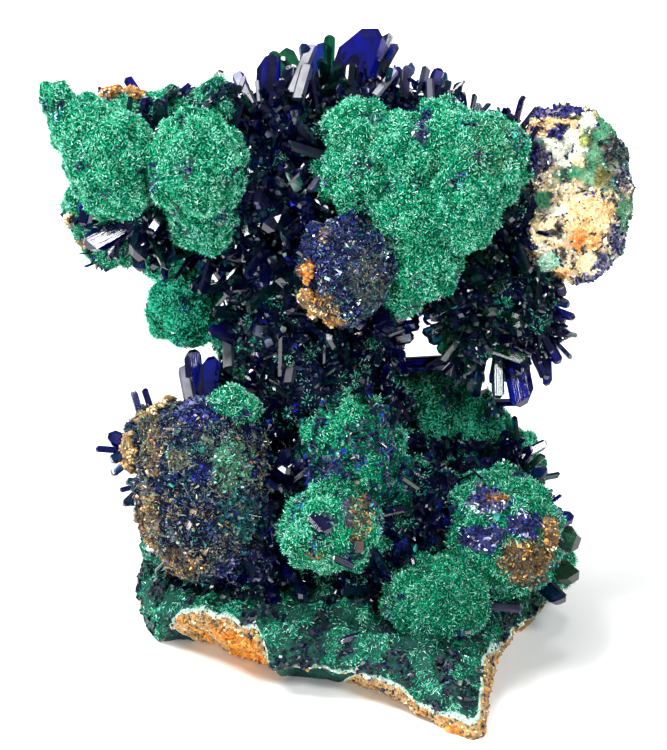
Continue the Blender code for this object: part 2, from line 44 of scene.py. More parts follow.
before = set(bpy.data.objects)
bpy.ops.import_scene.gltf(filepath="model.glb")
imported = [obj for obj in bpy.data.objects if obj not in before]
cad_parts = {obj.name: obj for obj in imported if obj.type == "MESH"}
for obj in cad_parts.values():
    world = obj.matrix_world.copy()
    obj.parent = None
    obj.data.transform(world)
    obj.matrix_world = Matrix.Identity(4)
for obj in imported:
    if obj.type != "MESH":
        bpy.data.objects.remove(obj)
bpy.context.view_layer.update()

MM = 0.001

# Growths are placed in millimetres as they are seen from the front: how far right, how far up the view and
# how near, for a viewer who looks down on the specimen by VIEW_TILT degrees.
VIEW_TILT = 30.0

# The relief of the lumps, the same as the solid's.
RELIEF_SIZE = 3.2
RELIEF_SHARE = 0.09
RELIEF_FULL_SIZE = 4.0
WAVE_COUNT = 14
WAVE_STRENGTH = 0.6

# Round growths: right, up, near, half width, half height, half depth.
LUMPS = {
    "left_cone": (
        (-22.3, 46.0, 12.0, 5.0, 5.2, 4.8),
        (-21.6, 42.8, 12.0, 4.0, 3.4, 4.2),
        (-25.0, 48.8, 12.0, 3.6, 3.6, 3.3),
        (-27.4, 51.8, 12.0, 2.2, 2.0, 1.9),
        (-28.4, 52.7, 12.0, 1.3, 1.1, 1.2),
    ),
    "left_ball": (
        (-13.6, 44.9, 13.5, 5.2, 5.9, 5.2),
        (-12.9, 39.6, 11.2, 3.6, 3.3, 3.8),
    ),
    "heart": (
        (2.4, 48.4, 12.0, 3.6, 3.5, 3.6),
        (2.0, 43.8, 12.8, 3.7, 3.9, 3.8),
        (6.6, 46.2, 12.5, 4.4, 4.6, 4.4),
        (10.9, 48.0, 12.0, 4.0, 3.9, 4.0),
        (14.9, 45.6, 12.8, 4.9, 5.1, 4.8),
        (12.4, 40.8, 13.2, 4.7, 4.6, 4.4),
        (7.4, 40.6, 13.2, 4.2, 4.6, 4.2),
        (9.0, 35.6, 12.2, 4.0, 4.2, 3.8),
        (6.8, 32.2, 11.2, 2.3, 2.4, 2.6),
    ),
    "centre_ball": ((1.2, 34.8, 14.0, 5.0, 5.4, 4.7),),
    "right_ball": (
        (24.8, 42.2, 8.0, 5.3, 8.6, 5.6),
        (23.4, 47.2, 8.0, 4.6, 4.2, 4.6),
        (22.7, 38.4, 8.2, 3.8, 4.2, 4.6),
    ),
    "hanging": (
        (15.2, 30.6, 7.5, 4.8, 6.2, 4.0),
        (19.3, 31.0, 7.0, 3.5, 5.0, 3.4),
        (13.0, 35.0, 6.0, 4.0, 4.0, 4.0),
    ),
    "left_under": (
        (-22.2, 38.4, 6.0, 3.8, 3.6, 4.0),
        (-25.4, 41.4, 5.5, 1.9, 2.8, 2.4),
        (-17.5, 36.2, 3.5, 2.8, 2.4, 2.8),
        (-14.9, 31.0, 1.0, 3.8, 4.2, 3.8),
        (-8.6, 28.2, 2.0, 3.9, 3.7, 3.6),
    ),
    "top_knobs": (
        (-11.9, 51.5, 8.0, 3.0, 2.5, 3.0),
        (-16.6, 50.9, 8.5, 2.6, 2.4, 2.6),
        (-21.2, 50.6, 7.0, 2.4, 1.8, 2.4),
    ),
    "upper_core": (
        (-18.5, 44.0, 6.5, 7.5, 7.2, 6.5),
        (-6.0, 43.0, 5.5, 10.5, 8.6, 7.5),
        (8.0, 42.5, 5.5, 11.5, 8.6, 8.0),
        (17.6, 42.0, 5.0, 6.6, 7.2, 5.6),
        (-2.0, 34.0, 5.5, 8.5, 7.0, 7.0),
        (-2.5, 50.4, 5.0, 4.6, 3.2, 3.6),
        (4.2, 51.2, 5.5, 3.4, 3.0, 3.4),
        (9.4, 50.2, 6.0, 2.8, 2.2, 2.8),
    ),
    "waist": (
        (-4.0, 27.5, 4.5, 7.4, 6.5, 6.5),
        (3.4, 28.0, 4.0, 3.8, 5.0, 5.0),
        (-1.5, 22.0, 3.5, 9.0, 6.0, 8.0),
    ),
    "brown_ball": ((-12.9, 13.0, 10.0, 7.2, 9.3, 7.4), (-17.2, 17.4, 8.0, 3.8, 4.2, 4.5)),
    "small_ball": ((-10.1, 21.0, 12.0, 2.8, 2.3, 2.6),),
    "middle_ball": ((1.9, 16.4, 11.0, 5.6, 6.4, 5.2), (4.6, 13.8, 11.5, 3.6, 4.4, 3.6)),
    "bean": ((-0.7, 8.8, 14.0, 4.6, 4.4, 4.1), (2.0, 8.8, 13.6, 3.4, 3.9, 3.6)),
    "right_low_ball": ((16.8, 8.5, 10.0, 6.2, 6.6, 6.2), (20.3, 7.6, 7.6, 2.8, 4.8, 4.2)),
    "low_ball": ((10.2, 1.6, 13.0, 5.2, 4.9, 5.0),),
    "right_back": (
        (11.4, 21.4, -1.0, 4.8, 4.6, 4.8),
        (14.7, 18.1, -1.5, 4.0, 3.9, 4.8),
        (18.2, 14.4, -1.0, 3.4, 4.6, 4.6),
        (21.6, 5.4, 2.0, 2.8, 3.6, 3.6),
    ),
    "lower_core": (
        (-8.0, 9.5, 5.0, 9.5, 8.0, 8.0),
        (6.0, 8.5, 5.0, 11.0, 8.0, 8.0),
        (14.0, 10.0, 1.0, 8.0, 8.0, 7.5),
        (2.0, 14.5, -3.5, 12.5, 7.5, 8.0),
        (-11.0, 13.0, -3.0, 7.0, 7.0, 7.0),
    ),
    "back": (
        (-13.5, 43.0, 2.0, 5.4, 5.0, 4.8),
        (-6.0, 46.4, 1.5, 4.2, 4.2, 4.4),
        (3.0, 43.6, 0.0, 5.2, 4.8, 4.6),
        (10.5, 46.0, 1.0, 5.0, 4.6, 4.6),
        (18.6, 42.5, 2.0, 4.8, 5.4, 4.6),
        (4.5, 35.6, 0.5, 5.0, 4.8, 5.0),
        (-4.5, 36.4, 0.0, 3.8, 3.8, 3.8),
        (-7.0, 21.0, -4.5, 5.4, 5.2, 5.0),
        (6.5, 20.5, -6.5, 5.6, 5.2, 5.0),
    ),
    "left_tip": ((-27.0, 50.4, 12.0, 1.9, 1.8, 1.8),),
}

# What covers a group of lumps: the share of it under velvet, then how many grains of druse and how many
# blades grow on a square millimetre of the rest, the grains' size and the blades' length.
VELVET, GRAINS, SMALL_BLADES, GRAIN_SIZE, BLADE_LENGTH = range(5)
COVERS = {
    "left_cone": (1.0, 9.0, 0.0, 0.45, 1.5),
    "left_ball": (1.0, 9.0, 0.0, 0.45, 1.5),
    "heart": (1.0, 9.0, 0.0, 0.4, 1.5),
    "centre_ball": (0.06, 10.0, 0.03, 0.36, 1.2),
    "hanging": (0.22, 3.0, 1.5, 0.6, 2.0),
    "left_under": (0.95, 6.0, 0.12, 0.5, 1.5),
    "top_knobs": (0.7, 6.0, 0.5, 0.5, 1.7),
    "upper_core": (0.2, 2.0, 0.85, 0.75, 3.1),
    "waist": (0.48, 3.0, 0.9, 0.6, 2.2),
    "brown_ball": (0.03, 7.0, 0.04, 0.36, 1.1),
    "small_ball": (1.0, 9.0, 0.0, 0.45, 1.5),
    "middle_ball": (0.26, 8.0, 0.35, 0.4, 1.4),
    "bean": (0.95, 9.0, 0.03, 0.45, 1.5),
    "right_low_ball": (0.9, 9.0, 0.12, 0.45, 1.6),
    "low_ball": (1.0, 9.0, 0.0, 0.45, 1.5),
    "right_back": (0.93, 6.0, 0.1, 0.5, 1.8),
    "lower_core": (0.4, 3.0, 0.9, 0.6, 2.2),
    "back": (0.55, 3.0, 0.8, 0.55, 2.4),
    "left_tip": (1.0, 9.0, 0.0, 0.45, 1.5),
}
VELVET_GROUPS = ("left_cone", "left_tip", "left_ball", "heart", "left_under", "top_knobs")
VELVET_GROUPS += ("small_ball", "middle_ball", "bean", "right_low_ball", "low_ball", "right_back")
DRUSE_GROUPS = ("centre_ball", "hanging", "upper_core", "waist", "brown_ball", "lower_core", "back")

# Short needles among the grains of the fuzzy groups: how many on a square millimetre, how strongly they are
# coloured and how long they are beside velvet. Then how many grains are on a bare patch, and their size.
FUZZY_GROUPS = ("brown_ball", "centre_ball")
FUZZ_DENSITY = 3.6
FUZZ_TINT = 0.96
FUZZ_STRETCH = 0.8
PATCH_DENSITY = 19.0
PATCH_GRAIN = 0.34

# How far the ground of a group lies below its lumps' skin, and the size and height of its finer relief.
DRUSE_DEPTH = 0.3
FINE_RELIEF = ((2.3, 0.26), (0.9, 0.1))
COARSE_RELIEF = ((2.2, 0.24), (0.9, 0.16))

# Nothing grows lower than FLOOR_GAP, or deeper in another group's lump than its own margin.
FLOOR_GAP = 0.5
GROWTH_MARGIN = 0.5
FUZZ_MARGIN = 0.4
BLADE_MARGIN = 0.3
CRUST_MARGIN = 0.3
BREAK_MARGIN = 0.3

# The share of the needles and grains that grow where the ground faces away from the front.
BACK_SHARE = 0.5
BACK_FROM = -0.3

# Where no small blade ends, as seen from the front: right, up, half width, half height, and how near a blade
# has to be to be left out. The view passes between the waist and the hanging blades, the side of the left
# cone is smooth, and large blades show in the middle.
KEPT_CLEAR = (
    (9.2, 27.0, 2.3, 1.1, -99.0),
    (9.2, 28.4, 0.8, 1.3, -99.0),
    (-29.2, 44.6, 3.4, 6.4, -99.0),
    (-2.6, 46.4, 2.5, 1.3, 8.0),
    (-7.6, 42.6, 1.2, 1.9, 8.0),
    (-1.7, 43.6, 1.1, 1.4, 8.0),
    (-5.4, 40.2, 3.0, 2.2, 8.0),
    (-10.5, 27.6, 1.1, 2.6, 5.0),
    (-5.0, 26.6, 1.6, 2.8, 7.0),
    (2.6, 51.4, 2.2, 1.4, 8.0),
)

# Velvet and druse share the ground by waves of that size, whose ranks the sharpness spreads evenly. Tufts on
# druse are fewer than on the balls, and druse begins a little inside the velvet.
COVER_WAVE = 3.4
COVER_SEED = 41
COVER_SHARPNESS = 2.8
TUFT_SHARE_ON_DRUSE = 0.42
DRUSE_UNDER_VELVET = 0.92

# The ball at the upper right is broken open: its front is a rough face square to this direction.
BREAK_TOWARDS = (-0.34, -0.05, 0.94)
BREAK_DEPTH = 3.6
BREAK_ROUGHNESS = 0.35
BREAK_GRAIN = 1.6
BREAK_SEED = 5
BREAK_GROUPS = ("right_ball",)
BREAK_INSET = 0.2

# A place that faces the break's direction by less than BREAK_FACING is outside its face. Then how many
# places on a square millimetre may carry a growth, the share of them that get a grain, the share of the
# outside that is under velvet, and the size of the crumbs.
BREAK_FACING = 0.2
BREAK_DENSITY = 20.0
BREAK_GRAIN_SHARE = 0.7
BREAK_COVER = 0.6
BREAK_CRUMB = 0.29

# The crust's edge, in the specimen's own frame: right, back, top height, underside height, and the share of
# its side, from below, that is bare: above 1, the top's outer part is bare too. An underside above 0 is a
# hollow arch below the edge.
CRUST_EDGE = (
    (14.4, -23.4, 1.5, -1.0, 1.25),
    (9.4, -20.4, 2.0, 0.6, 0.75),
    (5.2, -17.5, 3.5, 1.8, 0.75),
    (1.2, -16.1, 3.9, 3.0, 0.12),
    (-2.9, -15.1, 4.0, 3.2, 0.06),
    (-5.9, -14.5, 4.0, 2.5, 0.08),
    (-7.4, -12.9, 6.1, 3.4, 0.93),
    (-11.1, -10.5, 6.3, 3.9, 1.0),
    (-15.2, -7.2, 4.6, 3.4, 1.0),
    (-18.0, -4.2, 2.8, -1.0, -1.6),
    (-19.4, 1.5, 3.4, 0.8, 0.0),
    (-18.4, 7.5, 4.2, 1.0, 0.0),
    (-19.2, 13.0, 2.6, -1.0, 0.0),
    (-13.5, 15.6, 4.6, 1.4, 0.1),
    (-9.0, 20.4, 2.8, -1.0, 0.2),
    (-2.0, 19.4, 5.0, 2.2, 0.3),
    (4.2, 22.8, 3.2, 0.6, 0.3),
    (9.6, 19.2, 5.0, 2.0, 0.4),
    (15.6, 19.6, 2.6, -1.0, 0.4),
    (18.6, 12.2, 4.4, 1.2, 0.3),
    (22.0, 4.6, 3.0, -1.0, 0.1),
    (17.2, -7.3, 2.8, 0.8, 0.5),
    (15.6, -15.5, 2.6, 0.9, 1.45),
)
CRUST_MIDDLE = (1.0, 2.0)
CRUST_TOP = 7.5
CRUST_BOTTOM = -2.5
CRUST_RINGS = 44
CRUST_WALL_ROWS = 14
CRUST_POINTS_PER_EDGE = 20
CRUST_RELIEF = 0.5
CRUST_RELIEF_SIZE = 3.0
CRUST_SEEDS = (21, 22)
HOLLOW_FROM = 0.74
HOLLOW_CURVE = 1.5

# The rim of crumbs: how far its middle is past the start of the bare side, half its width, the waves that
# bend it, the share of it that is covered, and how bare the edge is at least where it has a rim.
RIM_MIDDLE = -0.1
RIM_HALF_WIDTH = 0.2
RIM_RELIEF = ((1.4, 0.12),)
RIM_SHARE = 0.8
RIM_BARE = 0.05

# The size and height of the finer relief of the crust's side and of its top.
WALL_RELIEF = ((1.5, 0.3), (0.7, 0.15))
WALL_BULGE = 0.25
WALL_SEED = 23
TOP_RELIEF = ((2.2, 0.28), (1.0, 0.12))
TOP_SEED = 25

# Where the edge is bare by less than LIP_BARE, what grows on the top goes on under the edge, for up to
# LIP_COVER millimetres and for LIP_STEEPNESS times as far as the point is in from the edge. The side counts
# as at least LEAST_WALL tall.
LIP_COVER = 4.2
LIP_BARE = 0.4
LIP_STEEPNESS = 4.0
LEAST_WALL = 0.3

# The crust's crumbs: the size of each mix, how many there are on a square millimetre, and how much darker
# they are than their mix.
SIDE, RIM, HOLLOW = range(3)
CRUST_CRUMBS = {"crust_side": 0.34, "crust_rim": 0.28, "crust_hollow": 0.5}
CRUST_CRUMB_DENSITY = 14.0
CRUST_CRUMB_SHADE = 0.8

# The crust's top: its grains on a square millimetre and their size, its tufts as a share of the balls', the
# share of it that is under velvet, and how far past the rim both go.
CRUST_GRAIN_DENSITY = 7.0
CRUST_GRAIN = 0.5
CRUST_TUFT_SHARE = 0.9
CRUST_VELVET = 0.68
CRUST_GROWTH_TO = -0.25

# Crumbs are on the side from CRUMBS_FROM past the rim and no lower than LOWEST_CRUMB. The front hollow is
# where the side is that bare and that far down. A share of the crumbs hangs on under the edge: it begins
# HANGING_FROM past the rim and ends at HANGING_TO, counted down the side to 1 and then in underneath to 2.
CRUMBS_FROM = 0.1
LOWEST_CRUMB = 0.2
GOLDEN_DOWN = 0.55
GOLDEN_BARE = (0.9, 1.1)
HANGING_SHARE = 0.4
HANGING_FROM = 0.3
HANGING_TO = 1.7

# Blades that stand out singly: root and tip as right, up, near, then the blade's width and its sort.
PLAIN, BRIGHT, GREEN, FACING = 0, 1, 2, 3
BLADES = (
    (1.4, 52.2, 5.8, 3.7, 59.0, 6.2, 4.7, FACING),
    (4.0, 52.2, 6.8, 5.4, 55.9, 6.8, 1.4, PLAIN),
    (-0.5, 53.4, 5.0, -0.3, 58.4, 5.0, 1.4, GREEN),
    (-4.1, 52.4, 9.4, -2.0, 57.4, 6.8, 1.4, BRIGHT),
    (-3.5, 51.8, 10.4, -2.5, 55.4, 8.4, 1.4, BRIGHT),
    (-1.6, 51.4, 5.2, -1.2, 57.6, 4.8, 2.1, FACING),
    (-1.7, 50.4, 9.0, -2.3, 54.0, 9.6, 1.3, PLAIN),
    (-4.7, 51.2, 7.8, -4.5, 55.2, 8.4, 1.4, PLAIN),
    (-6.6, 51.0, 7.4, -6.4, 56.3, 7.2, 2.4, FACING),
    (-4.7, 52.6, 4.6, -4.3, 57.0, 4.4, 2.3, GREEN),
    (-6.2, 52.6, 4.4, -5.8, 56.8, 4.2, 1.6, GREEN),
    (-8.2, 51.2, 9.2, -9.7, 54.6, 6.4, 1.3, BRIGHT),
    (-8.4, 51.0, 8.8, -10.6, 53.4, 9.6, 1.2, PLAIN),
    (4.2, 52.2, 9.2, 6.4, 54.9, 8.2, 1.0, BRIGHT),
    (6.4, 51.4, 6.8, 6.5, 55.2, 6.6, 0.9, PLAIN),
    (7.2, 51.4, 6.6, 7.4, 55.3, 6.4, 0.9, BRIGHT),
    (8.4, 51.0, 7.0, 9.4, 55.2, 6.6, 1.3, PLAIN),
    (9.4, 51.8, 7.0, 10.7, 55.0, 7.2, 1.4, PLAIN),
    (9.8, 50.6, 8.6, 9.7, 54.0, 7.4, 0.9, BRIGHT),
    (10.0, 50.6, 8.0, 12.1, 52.6, 8.6, 1.3, PLAIN),
    (-16.2, 49.2, 9.0, -19.2, 51.6, 10.6, 1.9, FACING),
    (-16.8, 50.0, 10.0, -16.9, 51.8, 11.4, 0.9, BRIGHT),
    (-12.6, 50.0, 10.4, -12.8, 51.4, 11.8, 0.9, BRIGHT),
    (-0.6, 46.0, 11.4, -4.5, 47.2, 13.8, 1.3, BRIGHT),
    (-1.2, 46.6, 10.4, -3.4, 48.0, 13.0, 1.5, PLAIN),
    (-0.9, 44.6, 12.4, -2.4, 42.5, 14.2, 0.9, BRIGHT),
    (-2.6, 42.4, 10.0, -6.8, 38.6, 13.6, 2.3, PLAIN),
    (-5.0, 45.0, 10.0, -8.2, 47.6, 13.5, 1.5, PLAIN),
    (-7.4, 44.2, 11.4, -7.6, 41.2, 13.6, 0.9, BRIGHT),
    (-7.8, 43.8, 11.4, -8.7, 41.4, 13.2, 0.8, BRIGHT),
    (-19.8, 39.8, 9.2, -24.6, 37.0, 11.2, 2.4, FACING),
    (-18.4, 39.8, 10.0, -19.7, 35.8, 11.6, 2.4, PLAIN),
    (-20.4, 38.6, 8.8, -22.6, 35.9, 10.0, 1.2, PLAIN),
    (-10.4, 25.0, 9.4, -10.6, 29.6, 6.3, 1.2, BRIGHT),
    (-13.6, 20.6, 9.0, -14.1, 26.8, 8.0, 1.9, PLAIN),
    (-14.2, 21.4, 10.4, -15.0, 25.2, 7.6, 1.3, BRIGHT),
    (-12.8, 20.6, 9.6, -12.2, 26.1, 9.8, 1.9, FACING),
    (-5.6, 23.0, 8.0, -5.7, 29.0, 10.0, 1.9, PLAIN),
    (-5.0, 23.0, 9.0, -4.9, 28.5, 11.5, 1.3, PLAIN),
    (-4.5, 23.4, 11.0, -3.7, 27.6, 8.5, 1.2, BRIGHT),
    (-18.8, 18.6, 8.0, -20.0, 22.7, 8.4, 0.8, PLAIN),
    (-17.8, 19.6, 8.0, -18.9, 22.9, 8.6, 0.9, PLAIN),
    (-19.6, 17.0, 8.6, -22.5, 18.2, 9.4, 1.6, PLAIN),
    (-19.8, 16.6, 9.2, -23.7, 16.9, 10.0, 0.9, PLAIN),
    (-19.6, 16.8, 9.8, -22.3, 15.7, 11.0, 1.1, PLAIN),
    (-19.4, 16.6, 9.2, -22.2, 14.4, 9.8, 1.2, PLAIN),
    (-18.8, 13.4, 9.6, -21.3, 12.7, 9.8, 0.7, PLAIN),
    (-18.6, 13.4, 9.8, -20.9, 11.2, 10.4, 0.9, PLAIN),
    (18.0, 27.0, 7.8, 19.1, 21.2, 8.6, 2.6, FACING),
    (15.5, 27.5, 9.0, 14.5, 22.4, 10.0, 1.8, PLAIN),
    (16.4, 27.5, 9.0, 16.5, 21.9, 10.0, 1.4, PLAIN),
    (14.4, 26.5, 8.5, 13.7, 22.6, 9.0, 0.9, BRIGHT),
    (19.4, 28.0, 7.6, 21.3, 23.8, 8.6, 1.4, PLAIN),
    (20.6, 29.0, 7.0, 22.7, 25.4, 8.0, 1.2, PLAIN),
    (20.8, 30.2, 7.2, 23.7, 28.2, 8.0, 0.9, PLAIN),
    (20.8, 31.6, 7.4, 23.3, 29.5, 8.2, 1.2, PLAIN),
    (20.6, 32.6, 7.2, 23.7, 31.2, 7.8, 1.1, PLAIN),
    (21.0, 33.8, 7.2, 23.3, 32.3, 8.0, 1.5, PLAIN),
    (12.6, 30.0, 8.6, 10.6, 26.4, 9.6, 1.5, PLAIN),
    (13.6, 32.0, 8.5, 9.8, 29.8, 9.5, 1.4, PLAIN),
    (18.4, 12.2, 8.4, 21.2, 15.1, 9.5, 1.4, FACING),
    (20.8, 8.9, 9.2, 23.9, 10.4, 9.5, 1.8, FACING),
    (20.4, 8.2, 8.2, 24.7, 7.4, 8.4, 3.2, GREEN),
    (20.8, 6.4, 7.4, 24.3, 3.6, 8.5, 2.8, GREEN),
    (20.4, 4.0, 6.5, 23.0, 1.4, 8.0, 1.8, PLAIN),
    (13.6, 1.4, 12.0, 18.8, 0.9, 12.6, 0.9, BRIGHT),
    (4.4, -0.4, 11.0, 0.6, -1.8, 13.4, 1.5, PLAIN),
)
BLADE_FLATNESS = 0.42
BLADE_SEED = 7

# Slabs and needles of azurite too small for the solid, in the same way.
SLIVERS = (
    (13.2, 31.6, 8.2, 9.3, 31.4, 9.4, 1.5, PLAIN),
    (12.6, 30.6, 7.6, 9.9, 28.9, 8.6, 1.3, PLAIN),
    (12.8, 32.8, 8.0, 9.2, 30.4, 8.8, 1.2, PLAIN),
    (4.8, 29.6, 8.0, 7.6, 30.4, 9.4, 1.6, PLAIN),
    (7.0, 25.3, 1.0, 12.8, 25.6, 1.8, 1.7, PLAIN),
    (5.4, 28.8, 7.0, 8.6, 29.3, 8.0, 1.5, PLAIN),
    (5.0, 27.6, 7.0, 8.1, 28.1, 8.4, 1.3, PLAIN),
    (13.4, 29.4, 8.0, 9.5, 27.7, 9.0, 1.9, PLAIN),
    (13.2, 31.4, 8.0, 9.3, 30.6, 8.8, 1.9, PLAIN),
    (12.8, 30.6, 8.1, 9.0, 29.7, 8.9, 1.7, PLAIN),
    (12.6, 29.6, 8.2, 9.0, 28.3, 9.0, 1.6, PLAIN),
    (10.8, 30.8, 8.0, 7.9, 31.4, 8.8, 1.5, PLAIN),
    (-4.4, 44.6, 10.0, -2.6, 40.6, 14.0, 1.8, FACING),
    (5.0, 28.2, 7.6, 7.2, 29.0, 8.6, 1.0, PLAIN),
    (4.6, 26.8, 8.0, 7.3, 26.2, 9.0, 1.2, PLAIN),
    (5.2, 52.6, 8.0, 5.6, 54.6, 7.4, 0.5, BRIGHT),
    (4.6, 52.4, 8.4, 4.4, 54.2, 7.8, 0.4, BRIGHT),
    (6.0, 52.2, 8.0, 6.6, 54.0, 7.4, 0.4, BRIGHT),
    (-9.6, 52.0, 8.4, -8.8, 54.2, 7.4, 0.6, BRIGHT),
    (-7.4, 51.6, 8.8, -7.6, 53.8, 7.6, 0.5, BRIGHT),
    (-2.0, 10.4, 17.4, -0.4, 8.6, 18.4, 1.5, PLAIN),
    (2.0, 5.2, 17.0, 0.0, 6.2, 18.0, 0.8, PLAIN),
    (3.6, -1.4, 14.4, 0.8, -2.2, 15.4, 0.9, PLAIN),
    (-9.4, 38.6, 10.4, -4.4, 40.6, 13.0, 2.2, PLAIN),
)

# Fans of smaller azurite blades: centre as right, up, near, then the way they point, how widely they
# open in degrees, how many there are, and the shortest and longest blade.
FANS = (
    (-3.0, 49.4, 6.6, -0.2, 1.0, 0.3, 50, 10, 3.6, 4.6),
    (5.5, 49.4, 6.6, 0.2, 1.0, 0.2, 50, 7, 3.4, 4.4),
    (-4.5, 47.0, 9.5, -0.1, 0.4, 1.0, 40, 6, 4.6, 5.4),
    (-4.8, 42.2, 10.0, -0.1, 0.0, 1.0, 44, 7, 4.6, 5.6),
    (-6.0, 36.4, 9.5, -0.3, -0.2, 1.0, 44, 6, 4.4, 5.4),
    (15.6, 30.8, 8.0, 0.0, -0.5, 1.0, 52, 12, 4.6, 5.8),
    (18.6, 30.6, 7.5, 0.3, -0.6, 0.9, 40, 5, 4.0, 4.8),
    (-7.5, 23.4, 8.0, 0.0, 0.8, 0.6, 36, 5, 4.6, 5.6),
    (-6.2, 13.0, 11.0, 0.3, 0.2, 1.0, 40, 5, 4.4, 5.6),
    (-6.0, 5.5, 11.0, 0.0, -0.5, 1.0, 44, 5, 4.4, 5.2),
    (5.5, 4.5, 12.0, 0.0, 0.0, 1.0, 40, 4, 4.4, 5.2),
    (-9.0, 46.0, 0.0, -0.2, 0.3, -1.0, 40, 6, 5.0, 6.2),
    (6.5, 42.0, 0.0, 0.1, 0.1, -1.0, 44, 7, 5.4, 6.8),
    (12.0, 33.5, 3.5, 0.6, -0.6, -0.6, 40, 6, 6.2, 7.4),
    (-0.5, 18.5, -5.5, 0.0, 0.5, -1.0, 44, 6, 5.2, 6.6),
)
FAN_WIDTH_SHARE = 0.24
FAN_WIDTH_SPREAD = 0.25
FAN_ROOT_SPREAD = 0.9
FAN_FLATNESS = 0.5
FAN_SEED = 11
FAN_SHAPE_SEED = 8

# A six-sided blade narrows to SHOULDER of its half width. Its roof falls by ROOF_SLOPE to its broad faces
# and by END_SLOPE to its edges, and is skewed by up to MOST_SKEW. A plain or green blade is rolled by up to
# MOST_ROLL radians from facing ROLL_FROM. A facing blade isn't rolled, and its roof falls to its left. A
# bright blade faces BRIGHT_FROM.
SHOULDER = 0.62
ROOF_SLOPE = 0.85
END_SLOPE = 1.25
MOST_SKEW = 0.35
MOST_ROLL = 0.9
ROLL_FROM = (0.05, 0.1, 1.0)
BRIGHT_FROM = (-0.29, 0.53, 0.8)

# A blade's faces as corner numbers: the base ring comes first, then the ring under the roof, then the
# ridge's two ends.
BLADE_SIDES = np.array([(corner, (corner + 1) % 6, (corner + 1) % 6 + 6, corner + 6) for corner in range(6)])
BLADE_ROOF = np.array([(7, 8, 13, 12), (10, 11, 12, 13), (11, 6, 7, 12), (8, 9, 10, 13)])
BLADE_FOOT = np.array([(5, 4, 3, 2, 1, 0)])
BLADE_FACES = (BLADE_SIDES, BLADE_ROOF, BLADE_FOOT)
BLADE_GLOW = np.array([0.1] * 6 + [1.0] * 8)
BLADE_POINTS = len(BLADE_GLOW)

# Small blades that grow out of the ground: their flatness, how they lean, how deep they are rooted, the
# spread of their lengths, and their width as a least width and a range of shares of their length.
SMALL_FLATNESS = 0.36
SMALL_LEAN = 0.55
SMALL_ROOT = 0.6
SMALL_LENGTHS = (-0.15, 0.35)
SMALL_LEAST_WIDTH = 0.14
SMALL_WIDTH_SHARE = 0.3
SMALL_WIDTHS = (0.55, 1.2)

# How green the greenest of the plain blades are, of the large and of the small ones, and the ranges of the
# greenness among green blades and of a bright or facing blade's glow. Then how glossy blades are at most.
LARGE_GREEN = 0.25
SMALL_GREEN = 0.8
GREEN_AMONG_GREEN = (0.3, 1.0)
SPECIAL_GLOW = (0.7, 1.0)
MOST_GLOSS = 0.5
FACING_GLOSS = 0.1

# A needle's faces, and how far along it its four points are. Then of a velvet needle the range of its rise
# along the normal, its spread off it, how far its root is off the tuft's middle and below the ground, and
# the ranges of its length and width and of its tint's strength.
NEEDLE_FACES = np.array([(0, 1, 2), (0, 3, 1), (0, 2, 3), (1, 3, 2)])
NEEDLE_GROWTH = (0.0, 0.0, 1.0, 1.0)
NEEDLE_RISES = (0.05, 0.6)
NEEDLE_SPREAD = 0.75
NEEDLE_ROOT_OFF = 0.14
NEEDLE_ROOT_DEPTH = 0.05
NEEDLE_LENGTHS = (0.65, 1.3)
NEEDLE_WIDTHS = (0.7, 1.35)
TINTS = (0.4, 1.6)

# The forms of a crumb and of a tablet, and the ranges that vary them.
SMALL_SPREAD = 0.3
CRUMB_CORNERS = np.array([(1, 0, 0), (0, 1, 0), (-1, 0, 0), (0, -1, 0), (0, 0, 1), (0, 0, -1)], dtype=float)
CRUMB_FACES = np.array(
    [(0, 1, 4), (1, 2, 4), (2, 3, 4), (3, 0, 4), (1, 0, 5), (2, 1, 5), (3, 2, 5), (0, 3, 5)]
)
CRUMB_BUMPS = (0.6, 1.25)
CRUMB_STRETCH = (0.7, 1.2)
CRUMB_LEAN = 1.0
TABLET_CORNERS = np.array(
    [(-1, -1, -1), (1, -1, -1), (1, 1, -1), (-1, 1, -1), (-1, 0, 1), (1, 0, 1)], dtype=float
)
TABLET_FACES = (np.array([(0, 3, 2, 1), (0, 1, 5, 4), (2, 3, 4, 5)]), np.array([(3, 0, 4), (1, 2, 5)]))
TABLET_SHAPE = (0.75, 0.4, 1.0)
TABLET_TAPER = (0.5, 1.0)
TABLET_STRETCH = (0.7, 1.3)
TABLET_LEAN = 0.75
# Painted shade: how much of its own colour each tablet corner keeps against the dark foot colour, little at
# the foot and all at the top.
TABLET_UNSHADED_SHARE = 0.15 + 0.85 * (TABLET_CORNERS[:, 2] > 0.0)

# Circles of latitude and points on each, of the balls that the lumps and the knobs are made from.
LUMP_GRID = (40, 72)
KNOB_GRID = (14, 24)


def seen(points):
    """Points given as right, up, near, turned into the specimen's frame by the tilt of the view."""
    tilt = np.radians(VIEW_TILT)
    right, up, near = np.moveaxis(np.asarray(points, dtype=float), -1, 0)
    back = up * np.sin(tilt) - near * np.cos(tilt)
    height = up * np.cos(tilt) + near * np.sin(tilt)
    return np.stack([right, back, height], axis=-1)


def as_seen(points):
    """Points of the specimen's frame, turned back into right, up, near."""
    tilt = np.radians(VIEW_TILT)
    right, back, height = np.moveaxis(np.asarray(points, dtype=float), -1, 0)
    up = back * np.sin(tilt) + height * np.cos(tilt)
    near = height * np.sin(tilt) - back * np.cos(tilt)
    return np.stack([right, up, near], axis=-1)


def waves(points, size, seed):
    """A smooth relief between about -1 and 1: the mean of sine waves that cross in random directions."""
    rng = np.random.default_rng(seed)
    ways = rng.normal(size=(3, WAVE_COUNT))
    ways /= np.linalg.norm(ways, axis=0)
    phases = rng.uniform(0.0, 2.0 * np.pi, WAVE_COUNT)
    swings = np.sin(points @ ways * (2.0 * np.pi / size) + phases)
    return swings.sum(axis=-1) * np.sqrt(2.0 / WAVE_COUNT) * WAVE_STRENGTH


